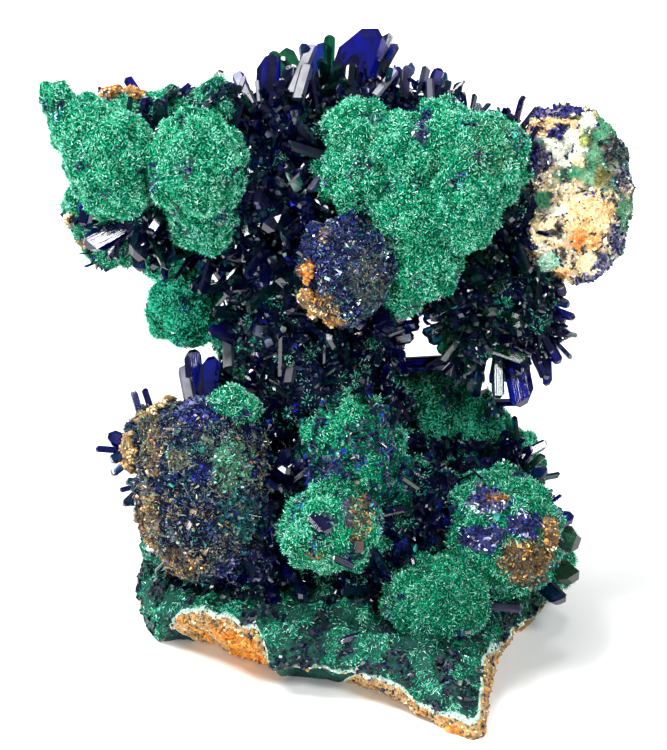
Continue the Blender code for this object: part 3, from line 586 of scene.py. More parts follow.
def unit(vectors):
    return vectors / np.linalg.norm(vectors, axis=-1, keepdims=True)


def mesh_object(name, points, face_sets, scale=MM, smooth=False):
    """An object from an array of points in millimetres and arrays of faces with as many corners each."""
    mesh = bpy.data.meshes.new(name)
    mesh.vertices.add(len(points))
    mesh.vertices.foreach_set("co", (points * scale).astype(np.float32).ravel())
    corners = np.concatenate([faces.ravel() for faces in face_sets]).astype(np.int32)
    counts = np.concatenate([np.full(len(faces), faces.shape[1]) for faces in face_sets])
    mesh.loops.add(len(corners))
    mesh.loops.foreach_set("vertex_index", corners)
    mesh.polygons.add(len(counts))
    mesh.polygons.foreach_set("loop_start", (np.cumsum(counts) - counts).astype(np.int32))
    mesh.polygons.foreach_set("use_smooth", np.full(len(counts), smooth))
    mesh.update(calc_edges=True)
    mesh.validate()
    obj = bpy.data.objects.new(name, mesh)
    bpy.context.scene.collection.objects.link(obj)
    return obj


def numbers(collection, name, width, kind=np.float32):
    """One property of every item of a mesh's collection, as an array of rows."""
    values = np.empty(len(collection) * width, dtype=kind)
    collection.foreach_get(name, values)
    return values.reshape(-1, width)


def skin_of(mesh, scale=MM):
    """The places of a mesh's points, in millimetres, and their smooth normals."""
    places = numbers(mesh.vertices, "co", 3).astype(float) / scale
    return places, numbers(mesh.vertex_normals, "vector", 3).astype(float)


def put_values(obj, **values):
    """Stores a number or a colour for each point of the object, under its name, for its material to read."""
    for name, rows in values.items():
        if np.ndim(rows) == 1:
            attribute = obj.data.attributes.new(name, "FLOAT", "POINT")
            attribute.data.foreach_set("value", np.asarray(rows, dtype=np.float32))
        else:
            attribute = obj.data.attributes.new(name, "FLOAT_COLOR", "POINT")
            whole = np.hstack([rows, np.ones((len(rows), 1))])
            attribute.data.foreach_set("color", whole.astype(np.float32).ravel())


def finished(obj, material):
    """The piece gets its material, rides on the specimen and stands for its solid."""
    obj.data.materials.append(material)
    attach(obj, "root")
    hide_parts("specimen")


def ring_faces(rings, points_round):
    """Triangles and quads of a row of rings of points, closed at its ends by the last two points."""
    index = np.arange(rings * points_round).reshape(rings, points_round)
    following = np.roll(index, -1, axis=1)
    quads = np.stack([index[:-1], index[1:], following[1:], following[:-1]], axis=-1).reshape(-1, 4)
    hub = np.full(points_round, index.size)
    top = np.stack([hub, index[0], following[0]], axis=-1)
    bottom = np.stack([hub + 1, following[-1], index[-1]], axis=-1)
    return [np.concatenate([top, bottom]), quads]


def ball_grid(rings, points_round):
    """A closed unit ball: circles of latitude between two poles, as points and arrays of faces."""
    polar = np.pi * np.arange(1, rings + 1)[:, None] / (rings + 1)
    turn = 2.0 * np.pi * np.arange(points_round) / points_round
    flat = np.sin(polar)
    grid = np.stack([flat * np.cos(turn), flat * np.sin(turn), np.cos(polar) + 0.0 * turn], axis=-1)
    poles = [(0.0, 0.0, 1.0), (0.0, 0.0, -1.0)]
    return np.concatenate([grid.reshape(-1, 3), poles]), ring_faces(rings, points_round)


def repeated(face_sets, count, points_each):
    """The faces of a form of so many points, for each of the copies that follow one another."""
    starts = points_each * np.arange(count)[:, None, None]
    return [(faces + starts).reshape(-1, faces.shape[1]) for faces in face_sets]


def broken(points, middle):
    """Points in front of the break are pressed back onto its rough face."""
    towards = unit(np.array(BREAK_TOWARDS))
    face = BREAK_DEPTH + BREAK_ROUGHNESS * waves(points, BREAK_GRAIN, BREAK_SEED)
    proud = np.maximum((points - middle) @ towards - face, 0.0)
    return points - proud[:, None] * towards


def numbered_lumps():
    """Each lump with its group and its number, which is the seed of its relief."""
    rows = [(group, growth) for group, growths in LUMPS.items() for growth in growths]
    return [(group, np.array(growth), number) for number, (group, growth) in enumerate(rows)]


def lump_shells(groups, inset):
    """Balls stretched to their half sizes with a relief in step with their size, drawn in by the inset."""
    ball, face_sets = ball_grid(*LUMP_GRID)
    places = []
    for group, growth, number in numbered_lumps():
        if group in groups:
            middle, sizes = growth[:3], growth[3:]
            swell = RELIEF_SHARE * min(1.0, RELIEF_FULL_SIZE / sizes.mean())
            relief = swell * waves(middle + ball * sizes, RELIEF_SIZE, number)
            skin = middle + ball * (sizes * (1.0 + relief[:, None]) - inset)
            places.append(seen(broken(skin, middle) if group == "right_ball" else skin))
    return np.concatenate(places), repeated(face_sets, len(places), len(ball))


def fused(points, face_sets, grid):
    """The shells joined into one skin on a grid of that many millimetres, as points, normals and quads."""
    shell = mesh_object("shell", points, face_sets, scale=1.0)
    remesh = shell.modifiers.new("remesh", "REMESH")
    remesh.mode = "VOXEL"
    remesh.voxel_size = grid
    graph = bpy.context.evaluated_depsgraph_get()
    skin = bpy.data.meshes.new_from_object(shell.evaluated_get(graph))
    places, normals = skin_of(skin, 1.0)
    quads = numbers(skin.loops, "vertex_index", 1, np.int32).reshape(-1, 4)
    bpy.data.objects.remove(shell)
    bpy.data.meshes.remove(skin)
    return places, normals, quads


def around(edge, per_edge):
    """A smooth closed line through the edge's points: each stretch is a Catmull-Rom cubic."""
    before, start, end, after = (np.roll(edge, shift, axis=0)[:, None, :] for shift in (1, 0, -1, -2))
    share = (np.arange(per_edge) / per_edge)[None, :, None]
    line = 0.5 * (
        2.0 * start
        + (end - before) * share
        + (2.0 * before - 5.0 * start + 4.0 * end - after) * share**2
        + (3.0 * start - before - 3.0 * end + after) * share**3
    )
    return line.reshape(-1, edge.shape[1])


def sites(obj, per_area, seed, *values):
    """Random places on a mesh in millimetres, evenly spread by area, with their smooth normals.

    Each array of values that the mesh's points have comes back as an array of the places' values.
    """
    mesh = obj.data
    mesh.calc_loop_triangles()
    corners = numbers(mesh.loop_triangles, "vertices", 3, np.int32)
    places, normals = skin_of(mesh)
    first, second, third = (places[corners[:, number]] for number in range(3))
    areas = 0.5 * np.linalg.norm(np.cross(second - first, third - first), axis=1)
    rng = np.random.default_rng(seed)
    count = rng.poisson(areas.sum() * per_area)
    chosen = rng.choice(len(areas), count, p=areas / areas.sum())
    one, two = rng.uniform(size=(2, count, 1))
    one, two = np.where(one + two > 1.0, 1.0 - one, one), np.where(one + two > 1.0, 1.0 - two, two)
    shares = (1.0 - one - two, one, two)

    def at_sites(rows):
        return sum(share * rows[corners[chosen, number]] for number, share in enumerate(shares))

    return at_sites(places), unit(at_sites(normals)), *(at_sites(rows[:, None])[:, 0] for rows in values)


def in_the_open(points, own, margin):
    """Which points lie above the floor and outside the other groups' lumps, drawn in by the margin."""
    spots = as_seen(points)
    free = points[:, 2] > FLOOR_GAP
    for group, growth, _ in numbered_lumps():
        if group not in own:
            free &= np.linalg.norm((spots - growth[:3]) / (growth[3:] - margin), axis=1) > 1.0
    return free


def thinned(normals, rng):
    """Which places keep what grows there: all that face the front, and BACK_SHARE of the others."""
    return (as_seen(normals)[:, 2] > BACK_FROM) | (rng.uniform(size=len(normals)) < BACK_SHARE)


def group_of(points, groups):
    """The number, in the list of groups, of the lump group whose skin is nearest to each point."""
    spots = as_seen(points)
    nearest = np.full(len(points), np.inf)
    number = np.zeros(len(points), dtype=int)
    for group, growth, _ in numbered_lumps():
        if group in groups:
            reach = np.linalg.norm((spots - growth[:3]) / growth[3:], axis=1)
            gap = np.abs(reach - 1.0) * growth[3:].mean()
            closer = gap < nearest
            nearest[closer] = gap[closer]
            number[closer] = groups.index(group)
    return number


def needles(roots, ways, lengths, widths, rng):
    """Each needle is a thin wedge of four points: an edge across its root and one across its tip."""
    side = unit(np.cross(ways, rng.normal(size=ways.shape)))
    other = np.cross(ways, side)
    half = widths[:, None] / 2.0
    tips = roots + ways * lengths[:, None]
    ends = [roots + side * half, roots - side * half, tips + other * half, tips - other * half]
    return np.stack(ends, axis=1).reshape(-1, 3), repeated([NEEDLE_FACES], len(roots), len(ends))


def triads(normals, lean, rng):
    """Three axes square to each other for each normal, the last of them leaning from it at random."""
    third = unit(normals + lean * rng.normal(size=normals.shape))
    first = unit(np.cross(third, rng.normal(size=normals.shape)))
    return first, np.cross(third, first), third


def copies(corners, face_sets, middles, axes, sizes):
    """A small form repeated at every middle, turned to its three axes and stretched to its three sizes."""
    scaled = corners * sizes[:, None, :]
    steps = sum(scaled[..., number, None] * axes[number][:, None] for number in range(3))
    points = (middles[:, None, :] + steps).reshape(-1, 3)
    return points, repeated(face_sets, len(middles), corners.shape[-2])


def half_sizes(size, count, stretch, rng):
    """Three half sizes for each small form, as no two are alike."""
    return size * rng.lognormal(0.0, SMALL_SPREAD, (count, 1)) * rng.uniform(*stretch, (count, 3)) / 2.0


def tablets(middles, normals, size, rng):
    """Small flat tablets of azurite: each is a wedge up to an edge, which may be shorter than its foot."""
    count = len(middles)
    taper = np.where(TABLET_CORNERS[:, 2:] > 0.0, rng.uniform(*TABLET_TAPER, (count, 1, 1)), 1.0)
    corners = TABLET_CORNERS * np.concatenate([taper, np.ones_like(taper), np.ones_like(taper)], axis=2)
    half = half_sizes(size, count, TABLET_STRETCH, rng) * TABLET_SHAPE
    return copies(corners, TABLET_FACES, middles, triads(normals, TABLET_LEAN, rng), half)


def crumbs(middles, normals, size, rng):
    """Crumbs of eight faces, each with its six points moved in and out at random."""
    count = len(middles)
    corners = CRUMB_CORNERS * rng.uniform(*CRUMB_BUMPS, (count, len(CRUMB_CORNERS), 1))
    half = half_sizes(size, count, CRUMB_STRETCH, rng)
    return copies(corners, [CRUMB_FACES], middles, triads(normals, CRUMB_LEAN, rng), half)


def clumps(points, size, seed):
    """A random value from 0 to 1 for each point's clump, which is a cube of that size with wavy sides."""
    bent = np.stack([waves(points, CLUMP_WAVE * size, seed + turn) for turn in range(3)], axis=-1)
    cells = np.floor(points / size + CLUMP_BEND * bent).astype(int)
    values = np.random.default_rng(seed).uniform(size=CLUMP_VALUES)
    return values[(cells @ np.array(CLUMP_STEPS)) % CLUMP_VALUES]


def picked(shares, draw):
    """For each row of shares, the number of the one that its draw, from 0 to 1, falls on."""
    steps = np.cumsum(shares, axis=1) / shares.sum(axis=1, keepdims=True)
    return (draw[:, None] > steps[:, :-1]).sum(axis=1)


def per_point(values, points_each):
    return np.repeat(values, points_each, axis=0)


def column(rows, number):
    return [row[number] for row in rows]


# The colours of grains and crumbs, and mixes of them as shares.
COLOURS = {
    "navy": (0.004, 0.005, 0.07),
    "blue": (0.012, 0.018, 0.2),
    "bright_blue": (0.01, 0.02, 0.5),
    "lavender": (0.42, 0.42, 0.72),
    "slate": (0.08, 0.1, 0.15),
    "brown": (0.12, 0.07, 0.04),
    "taupe": (0.17, 0.13, 0.085),
    "tan": (0.36, 0.22, 0.1),
    "sand": (0.42, 0.32, 0.16),
    "cream": (0.95, 0.8, 0.5),
    "white": (0.9, 0.97, 0.85),
    "peach": (0.95, 0.6, 0.28),
    "ochre": (0.62, 0.27, 0.05),
    "gold": (0.5, 0.26, 0.06),
    "orange": (0.78, 0.23, 0.02),
    "rust": (0.3, 0.12, 0.03),
    "khaki": (0.2, 0.19, 0.11),
    "olive": (0.12, 0.12, 0.025),
    "yellow_green": (0.35, 0.42, 0.1),
    "sage": (0.13, 0.19, 0.14),
    "green": (0.01, 0.26, 0.13),
    "pale_green": (0.1, 0.42, 0.24),
    "mint": (0.4, 0.72, 0.58),
    "rim_mint": (0.55, 0.8, 0.64),
    "teal": (0.01, 0.15, 0.14),
    "deep_green": (0.003, 0.06, 0.04),
    # Painted light: a bright green that lightens velvet which the lamps leave dark.
    "painted_light_green": (0.05, 1.0, 0.62),
}
MIXES = {
    "brown_ball": {
        "navy": 0.24, "blue": 0.1, "slate": 0.12, "sage": 0.2,
        "taupe": 0.18, "teal": 0.08, "sand": 0.05, "rust": 0.03,
    },
    # Painted highlights: the centre ball's white and mint grains stand for glints of light.
    "centre_ball": {
        "navy": 0.6, "blue": 0.08, "slate": 0.08, "teal": 0.1,
        "taupe": 0.03, "mint": 0.04, "white": 0.07,
    },
    "hanging": {"navy": 0.35, "deep_green": 0.45, "teal": 0.2},
    # Painted highlights: the mint grains of the dark druse stand for small glints of light.
    "dark_druse": {
        "navy": 0.6, "deep_green": 0.16, "teal": 0.12,
        "slate": 0.05, "bright_blue": 0.05, "mint": 0.02,
    },
    "crust_top": {"navy": 0.3, "deep_green": 0.4, "teal": 0.15, "slate": 0.05, "green": 0.1},
    "crust_side": {
        "tan": 0.26, "sand": 0.2, "cream": 0.1, "ochre": 0.14,
        "olive": 0.1, "navy": 0.1, "brown": 0.1,
    },
    "crust_rim": {"rim_mint": 0.4, "white": 0.25, "navy": 0.25, "lavender": 0.1},
    "crust_hollow": {"orange": 0.25, "ochre": 0.4, "gold": 0.15, "rust": 0.2},
    "speckled": {"cream": 0.3, "sand": 0.2, "peach": 0.15, "white": 0.15, "blue": 0.12, "olive": 0.08},
    "peach_cream": {"peach": 0.44, "cream": 0.36, "sand": 0.1, "ochre": 0.06, "brown": 0.04},
    "orange_peach": {"orange": 0.3, "peach": 0.4, "ochre": 0.26, "brown": 0.04},
    "blue_white": {"blue": 0.44, "navy": 0.36, "white": 0.1, "lavender": 0.1},
    "leafy": {"green": 0.45, "pale_green": 0.1, "deep_green": 0.25, "navy": 0.2},
    "blue_lavender": {"blue": 0.4, "navy": 0.5, "lavender": 0.1},
    "dark": {"navy": 0.5, "deep_green": 0.3, "brown": 0.2},
    "whitish": {"white": 0.8, "cream": 0.1, "mint": 0.06, "navy": 0.04},
    "broken_green": {"green": 0.3, "pale_green": 0.4, "sage": 0.12, "mint": 0.13, "olive": 0.05},
    "minty": {"mint": 0.55, "white": 0.25, "pale_green": 0.2},
    "faded_green": {"pale_green": 0.5, "sage": 0.3, "mint": 0.1, "slate": 0.1},
    "grey": {"sage": 0.3, "taupe": 0.25, "slate": 0.25, "teal": 0.2},
    "brown_edge": {"rust": 0.12, "taupe": 0.33, "khaki": 0.2, "gold": 0.1, "sand": 0.15, "brown": 0.1},
    "brown_gold": {"gold": 0.2, "brown": 0.35, "khaki": 0.25, "taupe": 0.2},
    "rough_gold": {"gold": 0.25, "rust": 0.2, "ochre": 0.12, "brown": 0.28, "cream": 0.15},
    "rough_tan": {"sand": 0.4, "tan": 0.25, "gold": 0.2, "brown": 0.1, "cream": 0.05},
    "rough_orange": {"orange": 0.45, "ochre": 0.25, "rust": 0.2, "cream": 0.1},
    "rough_cream": {"cream": 0.5, "sand": 0.3, "tan": 0.2},
}

# The colours within the materials.
SHADES = {
    "cool_velvet": (0.0, 0.24, 0.18),
    # Painted shade: the dark roots of tinted needles.
    "tinted_root_shade": (0.002, 0.004, 0.015),
    "deep_azurite": (0.002, 0.003, 0.1),
    "deepest_azurite": (0.0005, 0.001, 0.03),
    "green_blade": (0.002, 0.075, 0.03),
    "druse_mottle": (0.004, 0.008, 0.04),
    # Painted shade: the dark foot of a grain.
    "druse_foot_shade": (0.001, 0.002, 0.01),
    "crumb_fleck": (0.2, 0.09, 0.03),
    "crust_dark": (0.001, 0.014, 0.018),
    "crust_green": (0.002, 0.06, 0.042),
    "crust_rim": (0.45, 0.62, 0.53),
    "limonite_mottle": (0.25, 0.12, 0.04),
    "limonite_pale": (0.8, 0.66, 0.4),
}
SPECKLED_STOPS = (
    (0.3, (0.09, 0.06, 0.03)),
    (0.42, (0.3, 0.17, 0.07)),
    (0.52, (0.5, 0.33, 0.15)),
    (0.6, (0.56, 0.28, 0.08)),
    (0.72, (0.68, 0.55, 0.36)),
)
GOLDEN_STOPS = ((0.35, (0.35, 0.12, 0.01)), (0.55, (0.7, 0.3, 0.03)), (0.7, (0.85, 0.5, 0.12)))

# The ground's dark and light colour, the colour of its flecks and its least roughness.
GROUND_LOOKS = {
    "malachite_ground": ((0.0, 0.03, 0.016), (0.0, 0.13, 0.06), (0.02, 0.42, 0.22), 0.5),
    "azurite_ground": ((0.001, 0.0015, 0.01), (0.002, 0.01, 0.02), (0.004, 0.006, 0.06), 0.3),
}
FLOOR_MOTTLE = 0.985

# How much lighter or darker than their mix the grains and crumbs of a growth are.
DRUSE_SHADES = 0.75
CRUST_GRAIN_SHADES = 0.4
CRUMB_SHADES = 0.35
FINE_SHADES = 0.3

# Bare patches on the balls, as seen from the front: right, up, half width, half height, the colour or mix
# of the grains there, and the share of the ground that they take from what else grows there.
PATCH_MIX, PATCH_STRENGTH = 4, 5
BARE_PATCHES = (
    (-18.6, 8.6, 1.2, 4.4, "brown_edge", 0.95),
    (-15.4, 5.4, 2.4, 1.6, "brown_edge", 0.7),
    (-18.2, 17.4, 1.1, 3.2, "brown_edge", 0.6),
    (-15.4, 15.8, 1.3, 1.0, "khaki", 0.7),
    (-12.6, 17.6, 0.8, 0.7, "sage", 0.8),
    (-10.0, 15.2, 1.9, 2.8, "faded_green", 0.75),
    (-9.2, 10.2, 2.2, 2.2, "teal", 0.55),
    (-13.6, 20.4, 2.0, 1.6, "blue", 0.6),
    (-13.2, 14.4, 1.2, 0.9, "blue", 0.7),
    (-8.6, 4.8, 3.4, 1.6, "blue_lavender", 0.8),
    (-1.2, 36.8, 3.4, 3.6, "blue_lavender", 0.5),
    (3.6, 33.8, 2.2, 2.8, "grey", 0.6),
    (-2.4, 34.7, 0.7, 0.8, "orange", 1.0),
    (-0.9, 38.0, 0.6, 0.6, "tan", 0.6),
    (-1.6, 31.0, 2.0, 1.3, "rough_gold", 0.7),
    (8.7, 48.4, 0.9, 1.2, "blue_white", 0.85),
    (2.6, 10.4, 1.3, 2.4, "brown_edge", 0.5),
    (-1.6, 14.8, 3.2, 1.2, "blue_lavender", 0.6),
    (-10.6, 30.6, 2.4, 4.4, "leafy", 0.5),
    (-9.0, 26.4, 2.0, 2.2, "leafy", 0.6),
    (4.2, 49.8, 1.6, 0.7, "teal", 0.4),
    (9.3, 50.0, 0.5, 0.6, "navy", 0.8),
    (8.4, 43.6, 0.4, 0.8, "navy", 0.5),
    (15.5, 11.7, 2.3, 1.3, "blue_white", 1.0),
    (16.3, 12.0, 1.2, 0.4, "rust", 1.0),
    (14.8, 8.0, 2.4, 1.4, "blue_lavender", 0.97),
    (19.2, 5.8, 2.7, 2.4, "brown_gold", 1.0),
    (19.0, 9.4, 1.8, 1.4, "blue_lavender", 0.97),
    (21.6, 8.4, 0.9, 1.7, "rough_gold", 1.0),
    (-0.9, 9.6, 0.9, 1.2, "slate", 0.8),
    (1.3, 10.6, 0.6, 1.5, "slate", 0.8),
    (5.1, 9.8, 0.9, 0.8, "navy", 0.8),
    (2.4, 8.2, 0.6, 0.9, "rust", 0.6),
    (-1.6, 6.4, 1.0, 0.5, "rust", 0.4),
    (-11.0, 40.2, 0.4, 0.7, "navy", 0.8),
    (-19.4, 44.6, 0.5, 0.4, "navy", 0.8),
)
BARE_FROM = 4.0

# Velvet with a tint, in the same way: right, up, half width, half height, colour and strength.
TINTED_PATCHES = (
    (15.6, 46.8, 2.6, 2.8, "tan", 0.5),
    (-11.2, 42.4, 1.2, 1.5, "tan", 0.35),
    (-1.0, 6.2, 3.6, 1.4, "khaki", 0.45),
    (2.8, 9.6, 1.1, 3.0, "sand", 0.6),
    (3.6, 44.0, 2.4, 3.0, "teal", 0.2),
    # Painted light and shade: the ball low on the left and the back of the right side are tinted bright
    # green to lighten them where the lamps leave them dark, and the low ball and the right low ball are
    # tinted deep green to darken them as if in shade.
    (-15.2, 31.4, 4.4, 4.8, "painted_light_green", 1.0),
    (10.2, 1.6, 5.6, 5.2, "deep_green", 0.75),
    (16.8, 8.5, 6.6, 6.8, "deep_green", 0.55),
    (14.5, 19.6, 6.2, 4.6, "painted_light_green", 0.75),
    (-2.0, 25.4, 6.0, 4.4, "mint", 0.4),
    (-10.1, 21.0, 3.4, 3.0, "pale_green", 0.35),
)
TINTED_FROM = -4.0

# Blades that are greener than others, in the same way.
GREEN_PATCHES = ((14.6, 32.4, 4.8, 5.6, "green", 0.75),)

# The face of the broken ball, in the same way: the later of two zones that overlap is the one that shows.
BREAK_ZONES = (
    (27.3, 46.7, 2.8, 4.5, "green", 1.0),
    (25.9, 43.9, 3.8, 1.6, "green", 1.0),
    (26.9, 43.9, 0.9, 1.0, "olive", 1.0),
    (28.1, 46.7, 1.3, 1.5, "dark", 0.7),
    (28.9, 44.1, 1.2, 1.3, "blue_white", 0.8),
    (21.9, 49.0, 2.7, 1.0, "peach", 1.0),
    (20.2, 48.7, 1.0, 1.2, "peach", 1.0),
    (21.8, 50.6, 3.6, 0.8, "blue", 1.0),
    (23.0, 47.0, 2.2, 2.1, "whitish", 1.0),
    (24.5, 45.6, 0.9, 0.6, "cream", 1.0),
    (22.4, 48.5, 0.9, 0.7, "blue", 1.0),
    (25.1, 47.6, 0.6, 0.7, "yellow_green", 1.0),
    (25.5, 49.7, 0.9, 0.8, "white", 1.0),
    (20.2, 46.7, 0.9, 2.2, "blue", 1.0),
    (20.4, 47.5, 0.7, 0.4, "teal", 1.0),
    (21.2, 45.7, 0.9, 1.2, "blue_white", 1.0),
    (20.5, 41.6, 1.5, 1.2, "green", 1.0),
    (24.1, 42.7, 1.7, 1.3, "speckled", 1.0),
    (25.5, 40.1, 3.3, 2.4, "peach_cream", 1.0),
    (22.6, 40.6, 0.8, 0.8, "white", 1.0),
    (20.9, 38.7, 1.6, 1.3, "cream", 1.0),
    (25.0, 37.6, 2.0, 1.2, "orange_peach", 1.0),
    (22.3, 37.4, 1.1, 1.0, "speckled", 1.0),
    (25.4, 35.4, 1.4, 1.3, "cream", 1.0),
    (28.4, 37.9, 0.9, 1.6, "blue_white", 1.0),
    (27.1, 35.3, 1.2, 1.3, "blue_white", 1.0),
    (25.5, 33.5, 1.2, 0.8, "blue_white", 1.0),
    (21.7, 34.9, 1.5, 1.7, "minty", 1.0),
    (22.9, 34.5, 1.1, 0.6, "peach", 1.0),
    (29.0, 40.5, 0.7, 2.0, "green", 1.0),
    (22.4, 38.6, 0.4, 0.9, "dark", 1.0),
    (22.9, 36.2, 0.35, 1.0, "dark", 1.0),
)
BREAK_FROM = 7.0
BREAK_VELVET = ("green",)
BREAK_DRUSE = ("blue", "blue_white", "dark")

# A zone is cracked where it is outside CRACK_INSIDE of its size and a wave is above CRACK_ABOVE.
CRACK_INSIDE = 0.88
CRACK_WAVE = 2.0
CRACK_ABOVE = -0.1

# Grains that grow in a clump are mostly of one colour. A clump's sides are bent by waves.
CLUMP_SIZE = 0.9
CLUMP_WAVE = 0.9
CLUMP_BEND = 0.45
CLUMP_LOYALTY = 0.6
CLUMP_VALUES = 997
CLUMP_STEPS = (73, 179, 283)
CLUMP_SEED = 61

# A patch's edge is drawn in and out by waves, and its ground takes its grains' mean colour, darkened as
# painted shade in the gaps between them.
PATCH_SHADE = 0.5
PATCH_RAGGEDNESS = 0.25
PATCH_WAVE = 1.1
PATCH_SEED = 51

# Limonite that stands out of the balls as knobs: right, up, near, half width, half height, half depth, and
# the mix of its crumbs.
KNOBS = (
    (-20.2, 16.6, 10.2, 1.0, 1.8, 1.2, "rough_tan"),
    (-18.1, 20.6, 10.0, 0.45, 0.5, 0.7, "rough_cream"),
    (-17.2, 21.3, 9.8, 0.6, 0.4, 0.7, "rough_cream"),
    (-16.4, 21.9, 9.6, 0.6, 0.35, 0.7, "rough_tan"),
    (-19.2, 19.5, 9.8, 0.7, 0.9, 0.8, "brown_edge"),
    (-22.1, 52.6, 6.2, 1.2, 0.65, 1.2, "rough_orange"),
    (-20.1, 52.5, 6.2, 1.1, 0.6, 1.2, "rough_orange"),
    (-2.4, 34.6, 17.2, 0.5, 0.65, 0.5, "rough_orange"),
    (-2.6, 33.6, 17.0, 0.4, 0.4, 0.4, "rough_orange"),
    (-2.6, 31.9, 15.7, 0.9, 0.8, 0.8, "rough_gold"),
    (-1.4, 30.7, 15.8, 1.2, 0.8, 0.8, "rough_gold"),
    (0.2, 29.7, 15.2, 1.1, 0.6, 0.8, "rough_gold"),
    (-4.7, 37.3, 13.2, 0.22, 0.5, 0.3, "rough_cream"),
    (-26.5, 39.8, 6.9, 0.5, 0.7, 0.5, "rough_cream"),
    (-25.0, 37.6, 8.0, 0.6, 0.5, 0.5, "rough_cream"),
    (21.6, 8.5, 14.2, 0.8, 1.5, 0.5, "rough_gold"),
)

# The knobs' roughness as a share of their size, its waves, how dark they are under their crumbs, as painted
# shade in the gaps between the crumbs, and the crumbs' size and number on a square millimetre.
KNOB_RELIEF = 0.25
KNOB_WAVE = 0.8
KNOB_SHADE = 0.12
KNOB_CRUMB = 0.3
KNOB_CRUMB_DENSITY = 16.0

# Where the pieces of velvet and of druse part, up the view or to the right.
WAIST_HEIGHT = 27.0
VELVET_PARTINGS = (-4.0, 8.0)
DRUSE_PARTING = 26.0

# The first seed of every random growth. Where it draws more than once, its next seeds follow on.
SEEDS = {
    "malachite_balls": 61,
    "malachite_roots": 71,
    "druse_on_velvet": 77,
    "azurite_balls": 81,
    "azurite_roots": 83,
    "velvet_tufts": 85,
    "azurite_druse": 87,
    "fuzz_roots": 88,
    "druse_fuzz": 90,
    "blades": 91,
    "blades_on_azurite_balls": 93,
    "blades_on_malachite_balls": 95,
    "small_shapes": 97,
    "small_blades": 99,
    "broken_ball": 101,
    "break_growth": 102,
    "velvet_broken": 104,
    "cracks": 107,
    "crust_crumbs": 110,
    "crust_top": 113,
    "velvet_crust": 114,
    "druse_crust": 115,
    "knobs": 121,
    "velvet_left": 730,
    "velvet_heart": 731,
    "velvet_low_left": 732,
    "velvet_low_right": 733,
}

# Lights: place, size and power. The world's own light comes from all around.
LIGHTS = (
    ("key", (-0.28, 0.12, 0.55), 0.34, 7.2),
    ("front", (0.3, -0.4, 0.52), 0.2, 3.8),
    ("top", (0.1, 0.3, 0.7), 0.2, 2.4),
    ("left", (-0.5, -0.34, 0.1), 0.24, 3.6),
)
LIGHTS_AIM = (0.0, 0.012, 0.021)
WORLD_LIGHT = 0.15
WHITE = (1.0, 1.0, 1.0, 1.0)
FLOOR_HALF = 1.6

# The camera looks square along the view from afar, at a picture of that height in metres.
CAMERA_AIM = (0.05, 24.25, 9.0)
CAMERA_DISTANCE = 1.0
CAMERA_RANGE = (0.05, 10.0)
SENSOR_WIDTH = 36.0
PICTURE_HEIGHT = 0.075


def length_setting(name, description, metres):
    return FloatProperty(
        name=name, description=description, default=metres, unit="LENGTH", subtype="DISTANCE"
    )


def colour_setting(name, description, *shade):
    return FloatVectorProperty(name=name, description=description, default=shade, subtype="COLOR")


class SpecimenSizes(bpy.types.PropertyGroup):
    needle_length: length_setting("Needle length", "Usual length of a malachite needle", 0.00044)
    needle_width: length_setting("Needle width", "Width of a malachite needle", 0.00007)
    tufts: FloatProperty(
        name="Tufts", description="Tufts of needles on a square millimetre of velvet", default=4.6
    )
    needles_per_tuft: IntProperty(
        name="Needles in a tuft", description="How many needles spread from one root", default=7
    )
    velvet_depth: length_setting("Velvet depth", "From the needles' tips to the ground", 0.00032)
    ground_grid: length_setting("Ground grid", "Size of the faces of the ground", 0.00041)


class SpecimenColours(bpy.types.PropertyGroup):
    # Painted shade and highlight: the root colour darkens the needles deep in the velvet, and the glint
    # colour lightens the palest tips as if they caught the light.
    malachite_root_shade: colour_setting("Malachite root", "The needles' roots", 0.0, 0.075, 0.035)
    malachite_tip: colour_setting("Malachite tip", "The needles' tips", 0.004, 0.6, 0.28)
    malachite_painted_glint: colour_setting("Malachite glint", "The palest needles", 0.56, 1.0, 0.88)
    azurite: colour_setting("Azurite", "Light that has passed into a blade", 0.003, 0.003, 0.24)
    floor: colour_setting("Floor", "The pale floor", 0.9, 0.9, 0.9)


def patch_at(points, patches, nearer_than, rng):
    """For each point, the number of the patch that it falls in, or -1 if there is none or it lies too deep.

    A patch is an ellipse across the front, whose edge is drawn in and out by waves.
    """
    right, up, near = np.moveaxis(as_seen(points), -1, 0)
    ragged = PATCH_RAGGEDNESS * waves(points, PATCH_WAVE, PATCH_SEED)
    found = np.full(len(points), -1)
    for number, (middle, height, half_width, half_height, _, share) in enumerate(patches):
        reach = np.hypot((right - middle) / half_width, (up - height) / half_height)
        inside = (reach + ragged < 1.0) & (near > nearer_than) & (rng.uniform(size=len(points)) < share)
        found[inside] = number
    return found


def under_velvet(points, shares):
    """Where velvet grows: where a wave's rank, from 0 to 1, is below the share of the ground it covers."""
    rank = 1.0 / (1.0 + np.exp(-COVER_SHARPNESS * waves(points, COVER_WAVE, COVER_SEED)))
    return rank < shares


def group_values(groups, column):
    return np.array([COVERS[group][column] for group in groups])


def shares_of(names):
    """The share of every colour in each of the named mixes or colours, as one row for each name."""
    mixes = [MIXES.get(name, {name: 1.0}) for name in names]
    return np.array([[mix.get(colour, 0.0) for colour in COLOURS] for mix in mixes])


def mean_colours(names):
    """The mean colour of each of the named mixes or colours."""
    shares = shares_of(names)
    return shares @ np.array(list(COLOURS.values())) / shares.sum(axis=1, keepdims=True)


